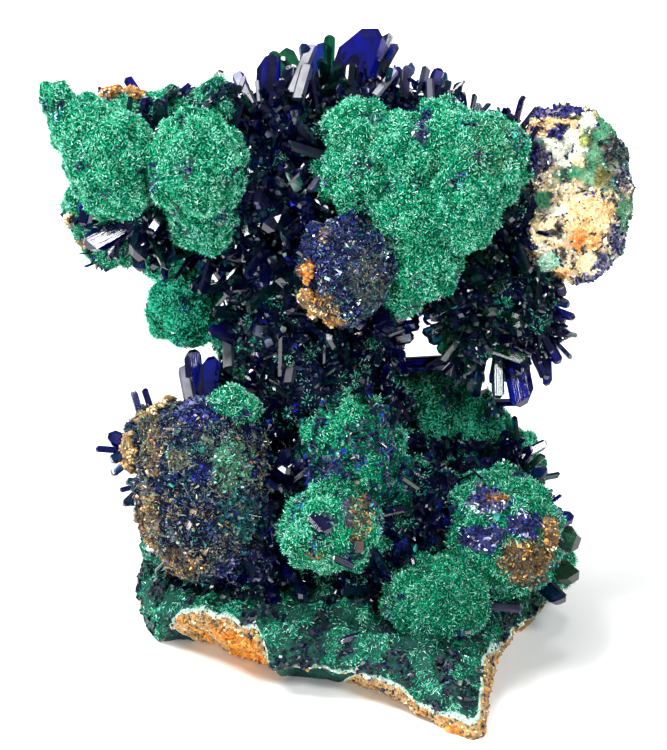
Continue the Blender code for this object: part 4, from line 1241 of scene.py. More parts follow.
def drawn_colours(names, number, place, spread, rng):
    """A colour for each number, drawn from the mix that it stands for, and made lighter or darker.

    Most neighbours in a clump draw alike.
    """
    alone = rng.uniform(size=len(place)) > CLUMP_LOYALTY
    draw = np.where(alone, rng.uniform(size=len(place)), clumps(place, CLUMP_SIZE, CLUMP_SEED))
    choice = picked(shares_of(names)[number], draw)
    return np.array(list(COLOURS.values()))[choice] * rng.lognormal(0.0, spread, (len(choice), 1))


def druse_paint(number, groups, patch, place, rng):
    """Each grain's colour, drawn from its patch's mix or else from its group's."""
    names = [group if group in MIXES else "dark_druse" for group in groups] + column(BARE_PATCHES, PATCH_MIX)
    number = np.where(patch >= 0, len(groups) + patch, number)
    return drawn_colours(names, number, place, DRUSE_SHADES, rng)


class Value:
    """A number in a shader, which adds, subtracts and multiplies as Python's own do."""

    def __init__(self, finish, socket):
        self.finish = finish
        self.socket = socket

    def _maths(self, operation, first, second):
        return self.finish.add("ShaderNodeMath", {"operation": operation}, {0: first, 1: second})

    def __add__(self, other):
        return self._maths("ADD", self, other)

    def __sub__(self, other):
        return self._maths("SUBTRACT", self, other)

    def __rsub__(self, other):
        return self._maths("SUBTRACT", other, self)

    def __mul__(self, other):
        return self._maths("MULTIPLY", self, other)

    __radd__ = __add__
    __rmul__ = __mul__


class Finish:
    """A material of one Principled surface, whose sockets are fed by nodes that this adds.

    A socket's name is given with underscores for its spaces.
    """

    def __init__(self, name, **constants):
        self.material = bpy.data.materials.new(name)
        self.material.use_nodes = True
        self.tree = self.material.node_tree
        self.surface = self.tree.nodes["Principled BSDF"]
        self.feed(self.surface, {key.replace("_", " "): value for key, value in constants.items()})

    def feed(self, node, sockets):
        for key, value in sockets.items():
            if isinstance(value, Value):
                self.tree.links.new(value.socket, node.inputs[key])
            else:
                node.inputs[key].default_value = value

    def add(self, kind, settings=None, sockets=None, output=0):
        """Adds a node, sets it up, feeds its sockets and returns one of its outputs."""
        node = self.tree.nodes.new(kind)
        for name, value in (settings or {}).items():
            if name == "stops":
                while len(node.color_ramp.elements) < len(value):
                    node.color_ramp.elements.new(1.0)
                for element, (position, colour) in zip(node.color_ramp.elements, value):
                    element.position = position
                    element.color = (*colour, 1.0)
            else:
                setattr(node, name, value)
        self.feed(node, sockets or {})
        return Value(self, node.outputs[output])

    def place(self):
        return self.add("ShaderNodeTexCoord", output="Object")

    def pattern(self, kind, size, **sockets):
        """The first value of a texture whose features are that many millimetres apart."""
        return self.add(kind, None, {"Vector": self.place(), "Scale": 1.0 / (size * MM), **sockets})

    def noise(self, size, detail=2.0, roughness=0.5):
        """A cloudy value from 0 to 1."""
        return self.pattern("ShaderNodeTexNoise", size, Detail=detail, Roughness=roughness)

    def cells(self, size):
        """Grains, as the distance from their middles."""
        return self.pattern("ShaderNodeTexVoronoi", size)

    def between(self, value, low, high, start=0.0, end=1.0):
        """The value's range from low to high, stretched smoothly to run from start to end."""
        sockets = {"Value": value, 1: low, 2: high, 3: start, 4: end}
        return self.add("ShaderNodeMapRange", {"interpolation_type": "SMOOTHSTEP"}, sockets)

    def attribute(self, name, output="Fac"):
        return self.add("ShaderNodeAttribute", {"attribute_name": name}, None, output)

    def paint(self):
        return self.attribute("paint", "Color")

    def mix(self, factor, first, second):
        """Two colours mixed by a factor."""
        first, second = (part if isinstance(part, Value) else (*part, 1.0) for part in (first, second))
        return self.add("ShaderNodeMix", {"data_type": "RGBA"}, {0: factor, 6: first, 7: second}, 2)

    def ramp(self, value, stops):
        return self.add("ShaderNodeValToRGB", {"stops": stops}, {"Fac": value})

    def bump(self, height, distance, strength=1.0):
        """A relief of that many millimetres from a value."""
        sockets = {"Strength": strength, "Distance": distance * MM, "Height": height}
        return self.add("ShaderNodeBump", None, sockets)

    def finish(self, **sockets):
        self.feed(self.surface, {key.replace("_", " "): value for key, value in sockets.items()})
        return self.material


def velvet_material(name):
    """Malachite needles: painted shade at the roots, mint at the tips, each a little lighter or darker, some
    with a painted glint.
    """
    colours = bpy.context.scene.specimen_colours
    finish = Finish(name, IOR=1.7, Specular_IOR_Level=0.02, Coat_Roughness=0.1, Coat_IOR=1.8)
    growth = finish.attribute("growth")
    shade = finish.attribute("shade")
    cloud = finish.noise(2.6, 3.0)
    # Painted shade: each needle darkens from its tip towards its root.
    body = finish.mix(growth * 0.75 + shade * 0.35, colours.malachite_root_shade, colours.malachite_tip)
    cool = finish.mix(finish.between(cloud, 0.42, 0.68, 0.0, 0.4), body, SHADES["cool_velvet"])
    tint = finish.attribute("tint")
    # Painted shade: tinted needles darken to near black at their roots.
    paint = finish.mix(growth, SHADES["tinted_root_shade"], finish.paint())
    tinted = finish.mix(tint, cool, paint)
    # Painted highlight: a share of the tips takes the pale glint colour.
    glint = finish.between(shade, 0.48, 0.82) * growth * (1.0 - 0.8 * tint)
    return finish.finish(
        Base_Color=finish.mix(glint, tinted, colours.malachite_painted_glint),
        Roughness=finish.between(shade, 0.0, 1.0, 0.5, 0.3),
        Coat_Weight=finish.between(shade, 0.8, 0.9, 0.0, 0.8),
    )


def ground_material(name):
    """The ground below velvet or druse: mottled, with a fine grain, and the smallest needles as flecks."""
    dark, light, fleck, roughness = GROUND_LOOKS[name]
    finish = Finish(name, IOR=1.7, Specular_IOR_Level=0.03)
    cloud = finish.noise(1.4, 4.0, 0.6)
    grain = finish.cells(0.34)
    colour = finish.mix(finish.between(cloud, 0.35, 0.7), dark, light)
    shaded = finish.mix(finish.between(grain, 0.0, 0.5, 0.0, 0.6), colour, dark)
    flecks = finish.between(finish.noise(0.2, 2.0, 0.6), 0.54, 0.66)
    covered = finish.mix(flecks, shaded, fleck)
    uncovered = finish.mix(flecks, finish.paint(), dark)
    return finish.finish(
        Base_Color=finish.mix(finish.attribute("bare"), covered, uncovered),
        Roughness=finish.between(cloud, 0.3, 0.7, roughness, roughness + 0.2),
        Normal=finish.bump(1.0 - grain, 0.12),
    )


def azurite_material():
    """Azurite blades: clear deep blue with fine lines along them, an uneven gloss, and a few that glow."""
    gloss = {"Specular_IOR_Level": 0.09, "Coat_Roughness": 0.08, "Coat_IOR": 1.6}
    finish = Finish("azurite", Transmission_Weight=0.85, IOR=1.73, **gloss)
    cloud = finish.noise(1.8, 3.0)
    dim = finish.between(cloud, 0.35, 0.7, 0.0, 0.7)
    deep = finish.mix(dim, SHADES["deep_azurite"], SHADES["deepest_azurite"])
    clear = finish.attribute("glow") * finish.between(finish.noise(1.5), 0.4, 0.58, 0.12, 1.0)
    lit = finish.mix(clear, deep, bpy.context.scene.specimen_colours.azurite)
    own = finish.mix(finish.attribute("green"), lit, SHADES["green_blade"])
    lines = finish.add("ShaderNodeUVMap", {"uv_map": "facets"})
    stretched = finish.add("ShaderNodeMapping", None, {"Vector": lines, "Scale": (9.0, 0.35, 1.0)})
    grooves = finish.add("ShaderNodeTexNoise", None, {"Vector": stretched, "Scale": 1.0, "Detail": 3.0})
    return finish.finish(
        Base_Color=own,
        Roughness=finish.between(cloud, 0.3, 0.7, 0.03, 0.16) + finish.attribute("satin") * 0.34,
        Coat_Weight=finish.attribute("gloss"),
        Normal=finish.bump(grooves, 0.03, 0.5),
    )


def druse_material(name):
    """Grains of the druse: each has the colour painted on it, darkened at its foot as painted shade, and
    some are glassy.
    """
    finish = Finish(name, IOR=1.73, Specular_IOR_Level=0.25, Coat_Roughness=0.08)
    cloud = finish.noise(0.5, 3.0)
    dim = finish.between(cloud, 0.35, 0.75, 0.0, 0.5)
    mottled = finish.mix(dim, finish.paint(), SHADES["druse_mottle"])
    # Painted shade: the grain fades to the dark foot colour towards its foot.
    foot = finish.mix(finish.attribute("growth"), SHADES["druse_foot_shade"], mottled)
    return finish.finish(
        Base_Color=foot,
        Roughness=finish.between(cloud, 0.3, 0.7, 0.2, 0.5),
        Coat_Weight=finish.between(finish.noise(0.9), 0.52, 0.66, 0.0, 0.6),
    )


def crumb_material(name):
    """Limonite crumbs: dull, painted one by one, with darker flecks."""
    finish = Finish(name, IOR=1.6, Specular_IOR_Level=0.3)
    cloud = finish.noise(0.35, 4.0, 0.65)
    dim = finish.between(cloud, 0.5, 0.75, 0.0, 0.35)
    flecked = finish.mix(dim, finish.paint(), SHADES["crumb_fleck"])
    return finish.finish(
        Base_Color=flecked,
        Roughness=finish.between(cloud, 0.3, 0.7, 0.5, 0.85),
        Normal=finish.bump(cloud, 0.08),
    )


def crust_material():
    """The crust: dark green on top, a thin mint rim, speckled where bare, and orange in the front hollow."""
    finish = Finish("limonite_crust", IOR=1.6, Specular_IOR_Level=0.15)
    side = finish.attribute("side")
    bare = finish.attribute("bare")
    cloud = finish.noise(2.2, 4.0, 0.6)
    fine = finish.noise(0.5, 4.0, 0.65)
    past = finish.attribute("past") + (fine - 0.5) * 0.5
    top = finish.mix(finish.between(cloud, 0.35, 0.65), SHADES["crust_dark"], SHADES["crust_green"])
    speckled = finish.ramp(fine, SPECKLED_STOPS)
    golden = finish.ramp(cloud, GOLDEN_STOPS)
    arch = finish.between(bare, 0.86, 0.95) * (1.0 - finish.between(bare, 1.05, 1.15))
    hollow = finish.mix(arch, speckled, golden)
    below = finish.mix(finish.between(side, 0.35, 0.75), speckled, hollow)
    broken_side = finish.mix(finish.between(past, -0.08, 0.08), top, below)
    near_edge = finish.between(past, -0.4, -0.25) * (1.0 - finish.between(past, 0.0, 0.15))
    rim = near_edge * finish.between(bare, 0.02, 0.08)
    return finish.finish(
        Base_Color=finish.mix(rim, broken_side, SHADES["crust_rim"]),
        Roughness=finish.between(fine, 0.3, 0.7, 0.45, 0.85),
        Normal=finish.bump(finish.cells(0.5) + fine, 0.15),
    )


def painted_material(name):
    """Broken limonite: the colour painted on it, mottled, with a grain of its own."""
    finish = Finish(name, IOR=1.6, Specular_IOR_Level=0.3)
    cloud = finish.noise(1.6, 4.0, 0.6)
    fine = finish.noise(0.45, 4.0, 0.6)
    dim = finish.between(fine, 0.4, 0.65, 0.0, 0.3)
    mottled = finish.mix(dim, finish.paint(), SHADES["limonite_mottle"])
    shaded = finish.mix(finish.between(cloud, 0.4, 0.7, 0.0, 0.25), mottled, SHADES["limonite_pale"])
    return finish.finish(
        Base_Color=shaded,
        Roughness=finish.between(fine, 0.3, 0.7, 0.5, 0.85),
        Normal=finish.bump(finish.cells(0.42) + fine, 0.2),
    )


def floor_material():
    """A pale floor with the faintest mottling."""
    pale = np.array(bpy.context.scene.specimen_colours.floor)
    finish = Finish("floor", Roughness=0.85)
    return finish.finish(Base_Color=finish.mix(finish.noise(60.0, 3.0), pale, FLOOR_MOTTLE * pale))


# Materials that several operators use.
SHARED_MATERIALS = {
    "malachite_velvet": velvet_material,
    "azurite_druse": druse_material,
    "limonite_crumbs": crumb_material,
}


def shared(name):
    """The material of that name, which is made on its first use."""
    return bpy.data.materials.get(name) or SHARED_MATERIALS[name](name)


def rise(points, relief, seed):
    """How high the waves of a relief, each of its own size and height, lift the points."""
    return sum(height * waves(points, size, seed + turn) for turn, (size, height) in enumerate(relief))


def ground(name, groups, inset, relief, material):
    """The groups' lumps grown together, with a finer relief, as one piece."""
    points, face_sets = lump_shells(groups, inset)
    places, normals, quads = fused(points, face_sets, bpy.context.scene.specimen_sizes.ground_grid / MM)
    places = places + normals * rise(places, relief, SEEDS[name])[:, None]
    obj = mesh_object(name, places, [quads], smooth=True)
    finished(obj, material)
    return obj


def bare_patch(points, rng):
    return patch_at(points, BARE_PATCHES, BARE_FROM, rng)


def show_patches(obj):
    """The ground takes the grains' mean colour on the bare patches, darkened as painted shade in the gaps.
    """
    patch = bare_patch(skin_of(obj.data)[0], np.random.default_rng(PATCH_SEED))
    paint = PATCH_SHADE * mean_colours(column(BARE_PATCHES, PATCH_MIX))[patch]
    put_values(obj, bare=patch >= 0, paint=paint)


def velvet_roots(obj, groups, density, seed):
    """Where tufts of velvet stand on the ground: in the open, off the bare patches and under velvet."""
    rng = np.random.default_rng(seed)
    place, normal = sites(obj, density, seed + 1)
    shares = group_values(groups, VELVET)[group_of(place, groups)]
    kept = under_velvet(place, shares) & (bare_patch(place, rng) < 0)
    kept &= in_the_open(place, groups, GROWTH_MARGIN) & thinned(normal, rng)
    return place[kept], normal[kept]


def piece(name, points, face_sets, material, slot, **values):
    """A piece of many small forms, none of which reaches below the floor."""
    points[:, 2] = np.maximum(points[:, 2], 0.0)
    obj = mesh_object(name, points, face_sets)
    put_values(obj, **values)
    finished(obj, shared(material))


def velvet(name, place, normal, paint=None, stretch=1.0):
    """Tufts of needles: each needle leaves its tuft's root the way that it lies off the tuft's middle.

    A tuft that has a paint takes its colour from that instead of from the patches of tinted velvet.
    """
    sizes = bpy.context.scene.specimen_sizes
    rng = np.random.default_rng(SEEDS[name])
    place, normal = (per_point(part, sizes.needles_per_tuft) for part in (place, normal))
    count = len(place)
    off = rng.normal(size=place.shape)
    off -= (off * normal).sum(axis=1, keepdims=True) * normal
    ways = unit(normal * rng.uniform(*NEEDLE_RISES, (count, 1)) + NEEDLE_SPREAD * off)
    lengths = stretch * sizes.needle_length / MM * rng.uniform(*NEEDLE_LENGTHS, count)
    widths = sizes.needle_width / MM * rng.uniform(*NEEDLE_WIDTHS, count)
    roots = place + NEEDLE_ROOT_OFF * off - NEEDLE_ROOT_DEPTH * normal
    points, face_sets = needles(roots, ways, lengths, widths, rng)
    shade = rng.uniform(size=count)
    if paint is None:
        patch = patch_at(place, TINTED_PATCHES, TINTED_FROM, rng)
        strengths = np.array(column(TINTED_PATCHES, PATCH_STRENGTH))[patch]
        tint = np.where(patch >= 0, strengths * rng.uniform(*TINTS, count), 0.0)
        paint = np.array([COLOURS[key] for key in column(TINTED_PATCHES, PATCH_MIX)])[patch]
    else:
        tint = np.full(count, FUZZ_TINT)
        paint = per_point(paint, sizes.needles_per_tuft)
    each = len(NEEDLE_GROWTH)
    # The growth runs from root to tip: the velvet's material darkens the roots by it as painted shade and
    # lightens the palest tips as painted highlights.
    values = {"shade": per_point(shade, each), "growth": np.tile(NEEDLE_GROWTH, count)}
    values |= {"tint": per_point(tint, each), "paint": per_point(paint, each)}
    piece(name, points, face_sets, "malachite_velvet", "malachite", **values)


def grains(name, place, normal, size, paint, rng):
    """A piece of painted azurite tablets."""
    points, face_sets = tablets(place, normal, size, rng)
    paint = per_point(paint, len(TABLET_CORNERS))
    # The growth runs from foot to top: the druse's material darkens the foot by it as painted shade.
    growth = np.tile(TABLET_UNSHADED_SHARE, len(place))
    piece(name, points, face_sets, "azurite_druse", "azurite", paint=paint, growth=growth)


def crumbled(name, place, normal, size, paint, rng):
    """A piece of painted limonite crumbs."""
    points, face_sets = crumbs(place, normal, size, rng)
    paint = per_point(paint, len(CRUMB_CORNERS))
    piece(name, points, face_sets, "limonite_crumbs", "limonite", paint=paint)


def druse(parts, obj, groups, seed):
    """Grains of druse wherever the ground is in the open and no velvet covers it, and on bare patches.

    The parts give each piece's name and the stretch up the view that it takes.
    """
    rng = np.random.default_rng(seed)
    place, normal = sites(obj, PATCH_DENSITY, seed + 1)
    number = group_of(place, groups)
    patch = bare_patch(place, rng)
    open_ground = ~under_velvet(place, group_values(groups, VELVET)[number] * DRUSE_UNDER_VELVET)
    sparse = rng.uniform(size=len(place)) * PATCH_DENSITY < group_values(groups, GRAINS)[number]
    kept = (open_ground & sparse) | (patch >= 0)
    kept &= in_the_open(place, groups, GROWTH_MARGIN) & thinned(normal, rng)
    place, normal, number, patch = place[kept], normal[kept], number[kept], patch[kept]
    size = np.where(patch >= 0, PATCH_GRAIN, group_values(groups, GRAIN_SIZE)[number])[:, None]
    paint = druse_paint(number, groups, patch, place, rng)
    up = as_seen(place)[:, 1]
    for name, (low, high) in parts.items():
        part = (up >= low) & (up < high)
        grains(name, place[part], normal[part], size[part], paint[part], rng)


def fan_blades():
    """Roots, tips and widths of the fans' blades: each points the fan's way, turned by up to its opening."""
    rng = np.random.default_rng(FAN_SEED)
    rows = []
    for *middle, right, up, near, opening, count, shortest, longest in FANS:
        way = np.array((right, up, near)) / np.linalg.norm((right, up, near))
        lean = rng.normal(size=(count, 3))
        lean -= (lean @ way)[:, None] * way
        lean /= np.linalg.norm(lean, axis=1)[:, None]
        turn = np.radians(opening) * np.sqrt(rng.uniform(size=count))[:, None]
        ways = np.cos(turn) * way + np.sin(turn) * lean
        length = rng.uniform(shortest, longest, count)[:, None]
        root = np.array(middle) + rng.normal(scale=FAN_ROOT_SPREAD, size=(count, 3))
        spread = rng.uniform(1.0 - FAN_WIDTH_SPREAD, 1.0 + FAN_WIDTH_SPREAD, (count, 1))
        width = length * FAN_WIDTH_SHARE * spread
        rows.append(np.hstack([root, root + ways * length, width]))
    return np.concatenate(rows)


def blade_forms(rows, flatness, most_roll, seed, sort=None):
    """Each row makes one flat prism of six sides from its root to its tip, closed by a roof.

    The roof has two slopes and two ends. They meet the sides at their corners, so every face is flat. The
    broad face turns the way that the blade's sort says. Returns points in the specimen's frame, how far
    across and along the blade each point lies, and each blade's sort.
    """
    rng = np.random.default_rng(seed)
    sort = np.zeros(len(rows)) if sort is None else sort
    bright, facing = (sort == BRIGHT)[:, None], (sort == FACING)[:, None]
    root, tip, width = rows[:, :3], rows[:, 3:6], rows[:, 6]
    count = len(rows)
    axis = tip - root
    length = np.linalg.norm(axis, axis=1)
    axis /= length[:, None]
    level = unit(np.cross(np.where(bright, np.array(BRIGHT_FROM), np.array(ROLL_FROM)), axis))
    roll = np.where(bright | facing, 0.0, rng.uniform(-most_roll, most_roll, count)[:, None])
    side = np.cos(roll) * level + np.sin(roll) * np.cross(axis, level)
    depth = np.cross(axis, side)
    half = width / 2.0
    thick = half * flatness
    shoulder = half * SHOULDER
    ridge = shoulder - ROOF_SLOPE * thick / END_SLOPE
    none = 0.0 * half
    face_drop = ROOF_SLOPE * thick
    edge_drop = face_drop + END_SLOPE * (half - shoulder)
    across = np.stack([half, shoulder, -shoulder, -half, -shoulder, shoulder, ridge, -ridge], axis=1)
    deep = np.stack([none, thick, thick, none, -thick, -thick, none, none], axis=1)
    drop = np.stack([edge_drop, face_drop, face_drop, edge_drop, face_drop, face_drop, none, none], axis=1)
    skew = np.where(facing, -MOST_SKEW, rng.uniform(-MOST_SKEW, MOST_SKEW, count)[:, None])
    along = np.hstack([np.zeros((count, 6)), length[:, None] - drop + skew * across])
    across, deep = (np.hstack([part[:, :6], part]) for part in (across, deep))
    pairs = ((across, side), (deep, depth), (along, axis))
    steps = sum(part[..., None] * way[:, None] for part, way in pairs)
    points = seen(root[:, None] + steps).reshape(-1, 3)
    return points, np.stack([across + deep, along], axis=-1).reshape(-1, 2), sort


def blade_object(name, parts, greenest, material):
    """Several lots of blades as one piece, with their own map for the lines along them.

    Blades differ in how green they are, how much they glow and how glossy they are.
    """
    points, lines, sort = (np.concatenate(part) for part in zip(*parts))
    count = len(sort)
    sides, roofs, feet = repeated(BLADE_FACES, count, BLADE_POINTS)
    obj = mesh_object(name, points, [np.concatenate([sides, roofs]), feet])
    corners = numbers(obj.data.loops, "vertex_index", 1, np.int32)[:, 0]
    facets = obj.data.uv_layers.new(name="facets")
    facets.data.foreach_set("uv", lines[corners].astype(np.float32).ravel())
    rng = np.random.default_rng(SEEDS[name])
    bright, facing = sort == BRIGHT, sort == FACING
    green = np.where(sort == GREEN, 1.0, greenest * rng.uniform(size=count) ** 3)
    among_green = patch_at(points[::BLADE_POINTS], GREEN_PATCHES, BARE_FROM, rng) >= 0
    greener = np.maximum(green, rng.uniform(*GREEN_AMONG_GREEN, count))
    green = np.where(among_green & ~facing, greener, green)
    glow = np.where(bright | facing, rng.uniform(*SPECIAL_GLOW, count), rng.uniform(size=count) ** 4)
    gloss = np.where(bright, 0.0, MOST_GLOSS * rng.uniform(size=count) ** 2)
    gloss = np.where(facing, FACING_GLOSS, gloss)
    values = {"green": green, "satin": bright, "gloss": gloss}
    values = {key: per_point(row, BLADE_POINTS) for key, row in values.items()}
    put_values(obj, glow=(glow[:, None] * BLADE_GLOW).ravel(), **values)
    finished(obj, material)


def grown_blades(obj, groups, seed):
    """Rows of blades that grow out of a group's open ground, square to it but for a lean."""
    rng = np.random.default_rng(seed)
    densities = group_values(groups, SMALL_BLADES)
    most = densities.max()
    place, normal = sites(obj, most, seed + 1)
    number = group_of(place, groups)
    kept = rng.uniform(size=len(place)) < densities[number] / most
    kept &= ~under_velvet(place, group_values(groups, VELVET)[number])
    kept &= in_the_open(place, groups, BLADE_MARGIN)
    place, normal, number = place[kept], normal[kept], number[kept]
    lengths = group_values(groups, BLADE_LENGTH)[number][:, None]
    length = lengths * rng.lognormal(*SMALL_LENGTHS, (len(place), 1))
    way = unit(normal + SMALL_LEAN * rng.normal(size=place.shape))
    width = SMALL_LEAST_WIDTH + SMALL_WIDTH_SHARE * length * rng.uniform(*SMALL_WIDTHS, (len(place), 1))
    rows = np.hstack([as_seen(place - SMALL_ROOT * way), as_seen(place + way * length), width])
    clear = ((place + way * length)[:, 2] > FLOOR_GAP + width[:, 0]) & thinned(normal, rng)
    for right, up, half_width, half_height, nearer_than in KEPT_CLEAR:
        beside = np.hypot((rows[:, 3] - right) / half_width, (rows[:, 4] - up) / half_height) > 1.0
        clear &= beside | (rows[:, 5] < nearer_than)
    return rows[clear]


def crust_skin():
    """The crust as one grid: out from the middle of its top, down its broken side, and in underneath.

    The top swells from the edge's height to CRUST_TOP. The underside falls from the edge's own height to
    CRUST_BOTTOM at HOLLOW_FROM of the way out and is cut flat at 0. Returns the points, the arrays of faces,
    and for each point how far down the side it is, from 0 to 1 and on to 2 under the crust, how many
    millimetres it is past the rim, and how bare the edge is there.
    """
    line = around(np.array(CRUST_EDGE), CRUST_POINTS_PER_EDGE)
    middle = np.array(CRUST_MIDDLE)
    share = (np.arange(CRUST_RINGS, 0, -1) / CRUST_RINGS)[:, None]
    flat = middle + share[..., None] * (line[:, :2] - middle)
    reach = np.linalg.norm(line[:, :2] - middle, axis=1)
    top = line[:, 2] + (CRUST_TOP - line[:, 2]) * np.sqrt(1.0 - share**2)
    inward = np.clip((1.0 - share) / (1.0 - HOLLOW_FROM), 0.0, 1.0)
    below = line[:, 3] + (CRUST_BOTTOM - line[:, 3]) * inward**HOLLOW_CURVE
    layers = []
    for height, seed in zip((top, below), CRUST_SEEDS):
        layer = np.concatenate([flat, height[..., None]], axis=2)
        layer[..., 2] += CRUST_RELIEF * waves(layer, CRUST_RELIEF_SIZE, seed)
        layers.append(layer)
    upper, under = layers
    down = (np.arange(1, CRUST_WALL_ROWS + 1) / (CRUST_WALL_ROWS + 1))[:, None]
    wall = upper[0] + down[..., None] * (under[0] - upper[0])
    out = (line[:, :2] - middle) / reach[:, None]
    bulge = WALL_BULGE * (np.sin(np.pi * down) - 1.0) + rise(wall, WALL_RELIEF, WALL_SEED)
    wall[..., :2] += bulge[..., None] * np.sin(np.pi * down[..., None]) ** 0.5 * out
    upper[..., 2] += rise(upper, TOP_RELIEF, TOP_SEED) * (1.0 - share**8)
    grid = np.concatenate([upper[::-1], wall, under])
    grid[..., 2] = np.maximum(grid[..., 2], 0.0)
    rows, points_round = grid.shape[:2]
    bare = np.maximum(line[:, 4], 0.0)
    tall = np.maximum(upper[0, :, 2] - np.maximum(under[0, :, 2], 0.0), LEAST_WALL)
    inner = (1.0 - share) * reach
    side = np.concatenate([0.0 * inner, down + 0.0 * reach, 1.0 + inward + 0.0 * reach])
    lip = LIP_COVER * np.clip(1.0 - bare / LIP_BARE, 0.0, 1.0)
    past_under = bare * tall + inner - np.minimum(lip, LIP_STEEPNESS * inner)
    past = np.concatenate([-inner[::-1] - (1.0 - bare) * tall, (down - 1.0 + bare) * tall, past_under])
    hubs = np.array([(*middle, CRUST_TOP), (*middle, 0.0)])
    places = np.concatenate([grid.reshape(-1, 3), hubs])
    values = {"side": side, "past": past, "bare": np.tile(bare, (rows, 1))}
    values = {name: np.append(part.ravel(), (0.0, 2.0)) for name, part in values.items()}
    return places, ring_faces(rows, points_round), values


class SPECIMEN_OT_crust(bpy.types.Operator):
    """Makes the wavy crust with its crumbs, its mint rim and its hollows, and what grows on its top"""

    bl_idname = "specimen.crust"
    bl_label = "Crust"

    def execute(self, context):
        places, face_sets, values = crust_skin()
        crust = mesh_object("crust", places, face_sets, smooth=True)
        put_values(crust, **values)
        finished(crust, crust_material())
        self.crumble(crust, values)
        self.grow_top(crust, values)
        return {"FINISHED"}

    def crumble(self, crust, values):
        """Crumbs on the bare side, on the rim and in the front hollow, and a few hanging under the edge."""
        seed = SEEDS["crust_crumbs"]
        rng = np.random.default_rng(seed)
        place, normal, down, beyond, bare = sites(crust, CRUST_CRUMB_DENSITY, seed + 1, *values.values())
        beyond += rise(place, RIM_RELIEF, seed + 2)
        golden = (down > GOLDEN_DOWN) & (bare > GOLDEN_BARE[0]) & (bare < GOLDEN_BARE[1])
        number = np.where(np.abs(beyond - RIM_MIDDLE) < RIM_HALF_WIDTH, RIM, SIDE)
        number = np.where(golden, HOLLOW, number)
        hanging = HANGING_SHARE * ((down < HANGING_TO) & (beyond > HANGING_FROM))
        on_rim = RIM_SHARE * (bare > RIM_BARE)
        share = np.select([down > 1.0, number == RIM], [hanging, on_rim], 1.0 * (beyond > CRUMBS_FROM))
        kept = (rng.uniform(size=len(place)) < share) & (place[:, 2] > LOWEST_CRUMB)
        place, normal, number = place[kept], normal[kept], number[kept]
        size = np.array(tuple(CRUST_CRUMBS.values()))[number][:, None]
        paint = drawn_colours(tuple(CRUST_CRUMBS), number, place, CRUMB_SHADES, rng)
        crumbled("crust_crumbs", place, normal, size, CRUST_CRUMB_SHADE * paint, rng)

    def grow_top(self, crust, values):
        """Velvet and dark grains on the crust's top and on its sides as far down as the rim."""
        rng = np.random.default_rng(SEEDS["crust_top"])
        tufts = CRUST_TUFT_SHARE * bpy.context.scene.specimen_sizes.tufts
        for name, density in (("velvet_crust", tufts), ("druse_crust", CRUST_GRAIN_DENSITY)):
            place, normal, down, beyond = sites(crust, density, SEEDS[name], values["side"], values["past"])
            kept = (down < 1.0) & (beyond < CRUST_GROWTH_TO) & in_the_open(place, (), CRUST_MARGIN)
            covered = under_velvet(place, CRUST_VELVET)
            kept &= covered if name == "velvet_crust" else ~covered
            place, normal = place[kept], normal[kept]
            if name == "velvet_crust":
                velvet(name, place, normal)
            else:
                number = np.zeros(len(place), int)
                paint = drawn_colours(["crust_top"], number, place, CRUST_GRAIN_SHADES, rng)
                grains(name, place, normal, CRUST_GRAIN, paint, rng)


class SPECIMEN_OT_malachite_balls(bpy.types.Operator):
    """Makes the balls that are mostly malachite, their velvet and the grains on their bare patches"""

    bl_idname = "specimen.malachite_balls"
    bl_label = "Malachite balls"

    def execute(self, context):
        sizes = context.scene.specimen_sizes
        material = ground_material("malachite_ground")
        depth = sizes.velvet_depth / MM
        balls = ground("malachite_balls", VELVET_GROUPS, depth, FINE_RELIEF, material)
        show_patches(balls)
        place, normal = velvet_roots(balls, VELVET_GROUPS, sizes.tufts, SEEDS["malachite_roots"])
        right, up, _ = as_seen(place).T
        upper = up > WAIST_HEIGHT
        heart, low_right = (right >= parting for parting in VELVET_PARTINGS)
        parts = {
            "velvet_left": upper & ~heart,
            "velvet_heart": upper & heart,
            "velvet_low_left": ~upper & ~low_right,
            "velvet_low_right": ~upper & low_right,
        }
        for name, part in parts.items():
            velvet(name, place[part], normal[part])
        druse({"druse_on_velvet": (-np.inf, np.inf)}, balls, VELVET_GROUPS, SEEDS["druse_on_velvet"])
        return {"FINISHED"}


class SPECIMEN_OT_azurite_balls(bpy.types.Operator):
    """Makes the lumps that are mostly azurite, their druse of grains and their tufts of velvet"""

    bl_idname = "specimen.azurite_balls"
    bl_label = "Azurite balls"

    def execute(self, context):
        material = ground_material("azurite_ground")
        balls = ground("azurite_balls", DRUSE_GROUPS, DRUSE_DEPTH, COARSE_RELIEF, material)
        show_patches(balls)
        tufts = TUFT_SHARE_ON_DRUSE * context.scene.specimen_sizes.tufts
        velvet("velvet_tufts", *velvet_roots(balls, DRUSE_GROUPS, tufts, SEEDS["azurite_roots"]))
        parts = {"druse_lower": (-np.inf, DRUSE_PARTING), "druse_upper": (DRUSE_PARTING, np.inf)}
        druse(parts, balls, DRUSE_GROUPS, SEEDS["azurite_druse"])
        self.grow_fuzz(balls)
        return {"FINISHED"}

    def grow_fuzz(self, balls):
        """Short needles among the grains of the fuzzy groups, in the grains' colours."""
        seed = SEEDS["fuzz_roots"]
        rng = np.random.default_rng(seed)
        place, normal = sites(balls, FUZZ_DENSITY, seed + 1)
        number = group_of(place, DRUSE_GROUPS)
        kept = np.isin(np.array(DRUSE_GROUPS)[number], FUZZY_GROUPS)
        kept &= in_the_open(place, FUZZY_GROUPS, FUZZ_MARGIN) & thinned(normal, rng)
        place, normal, number = place[kept], normal[kept], number[kept]
        paint = druse_paint(number, DRUSE_GROUPS, bare_patch(place, rng), place, rng)
        velvet("druse_fuzz", place, normal, paint, FUZZ_STRETCH)


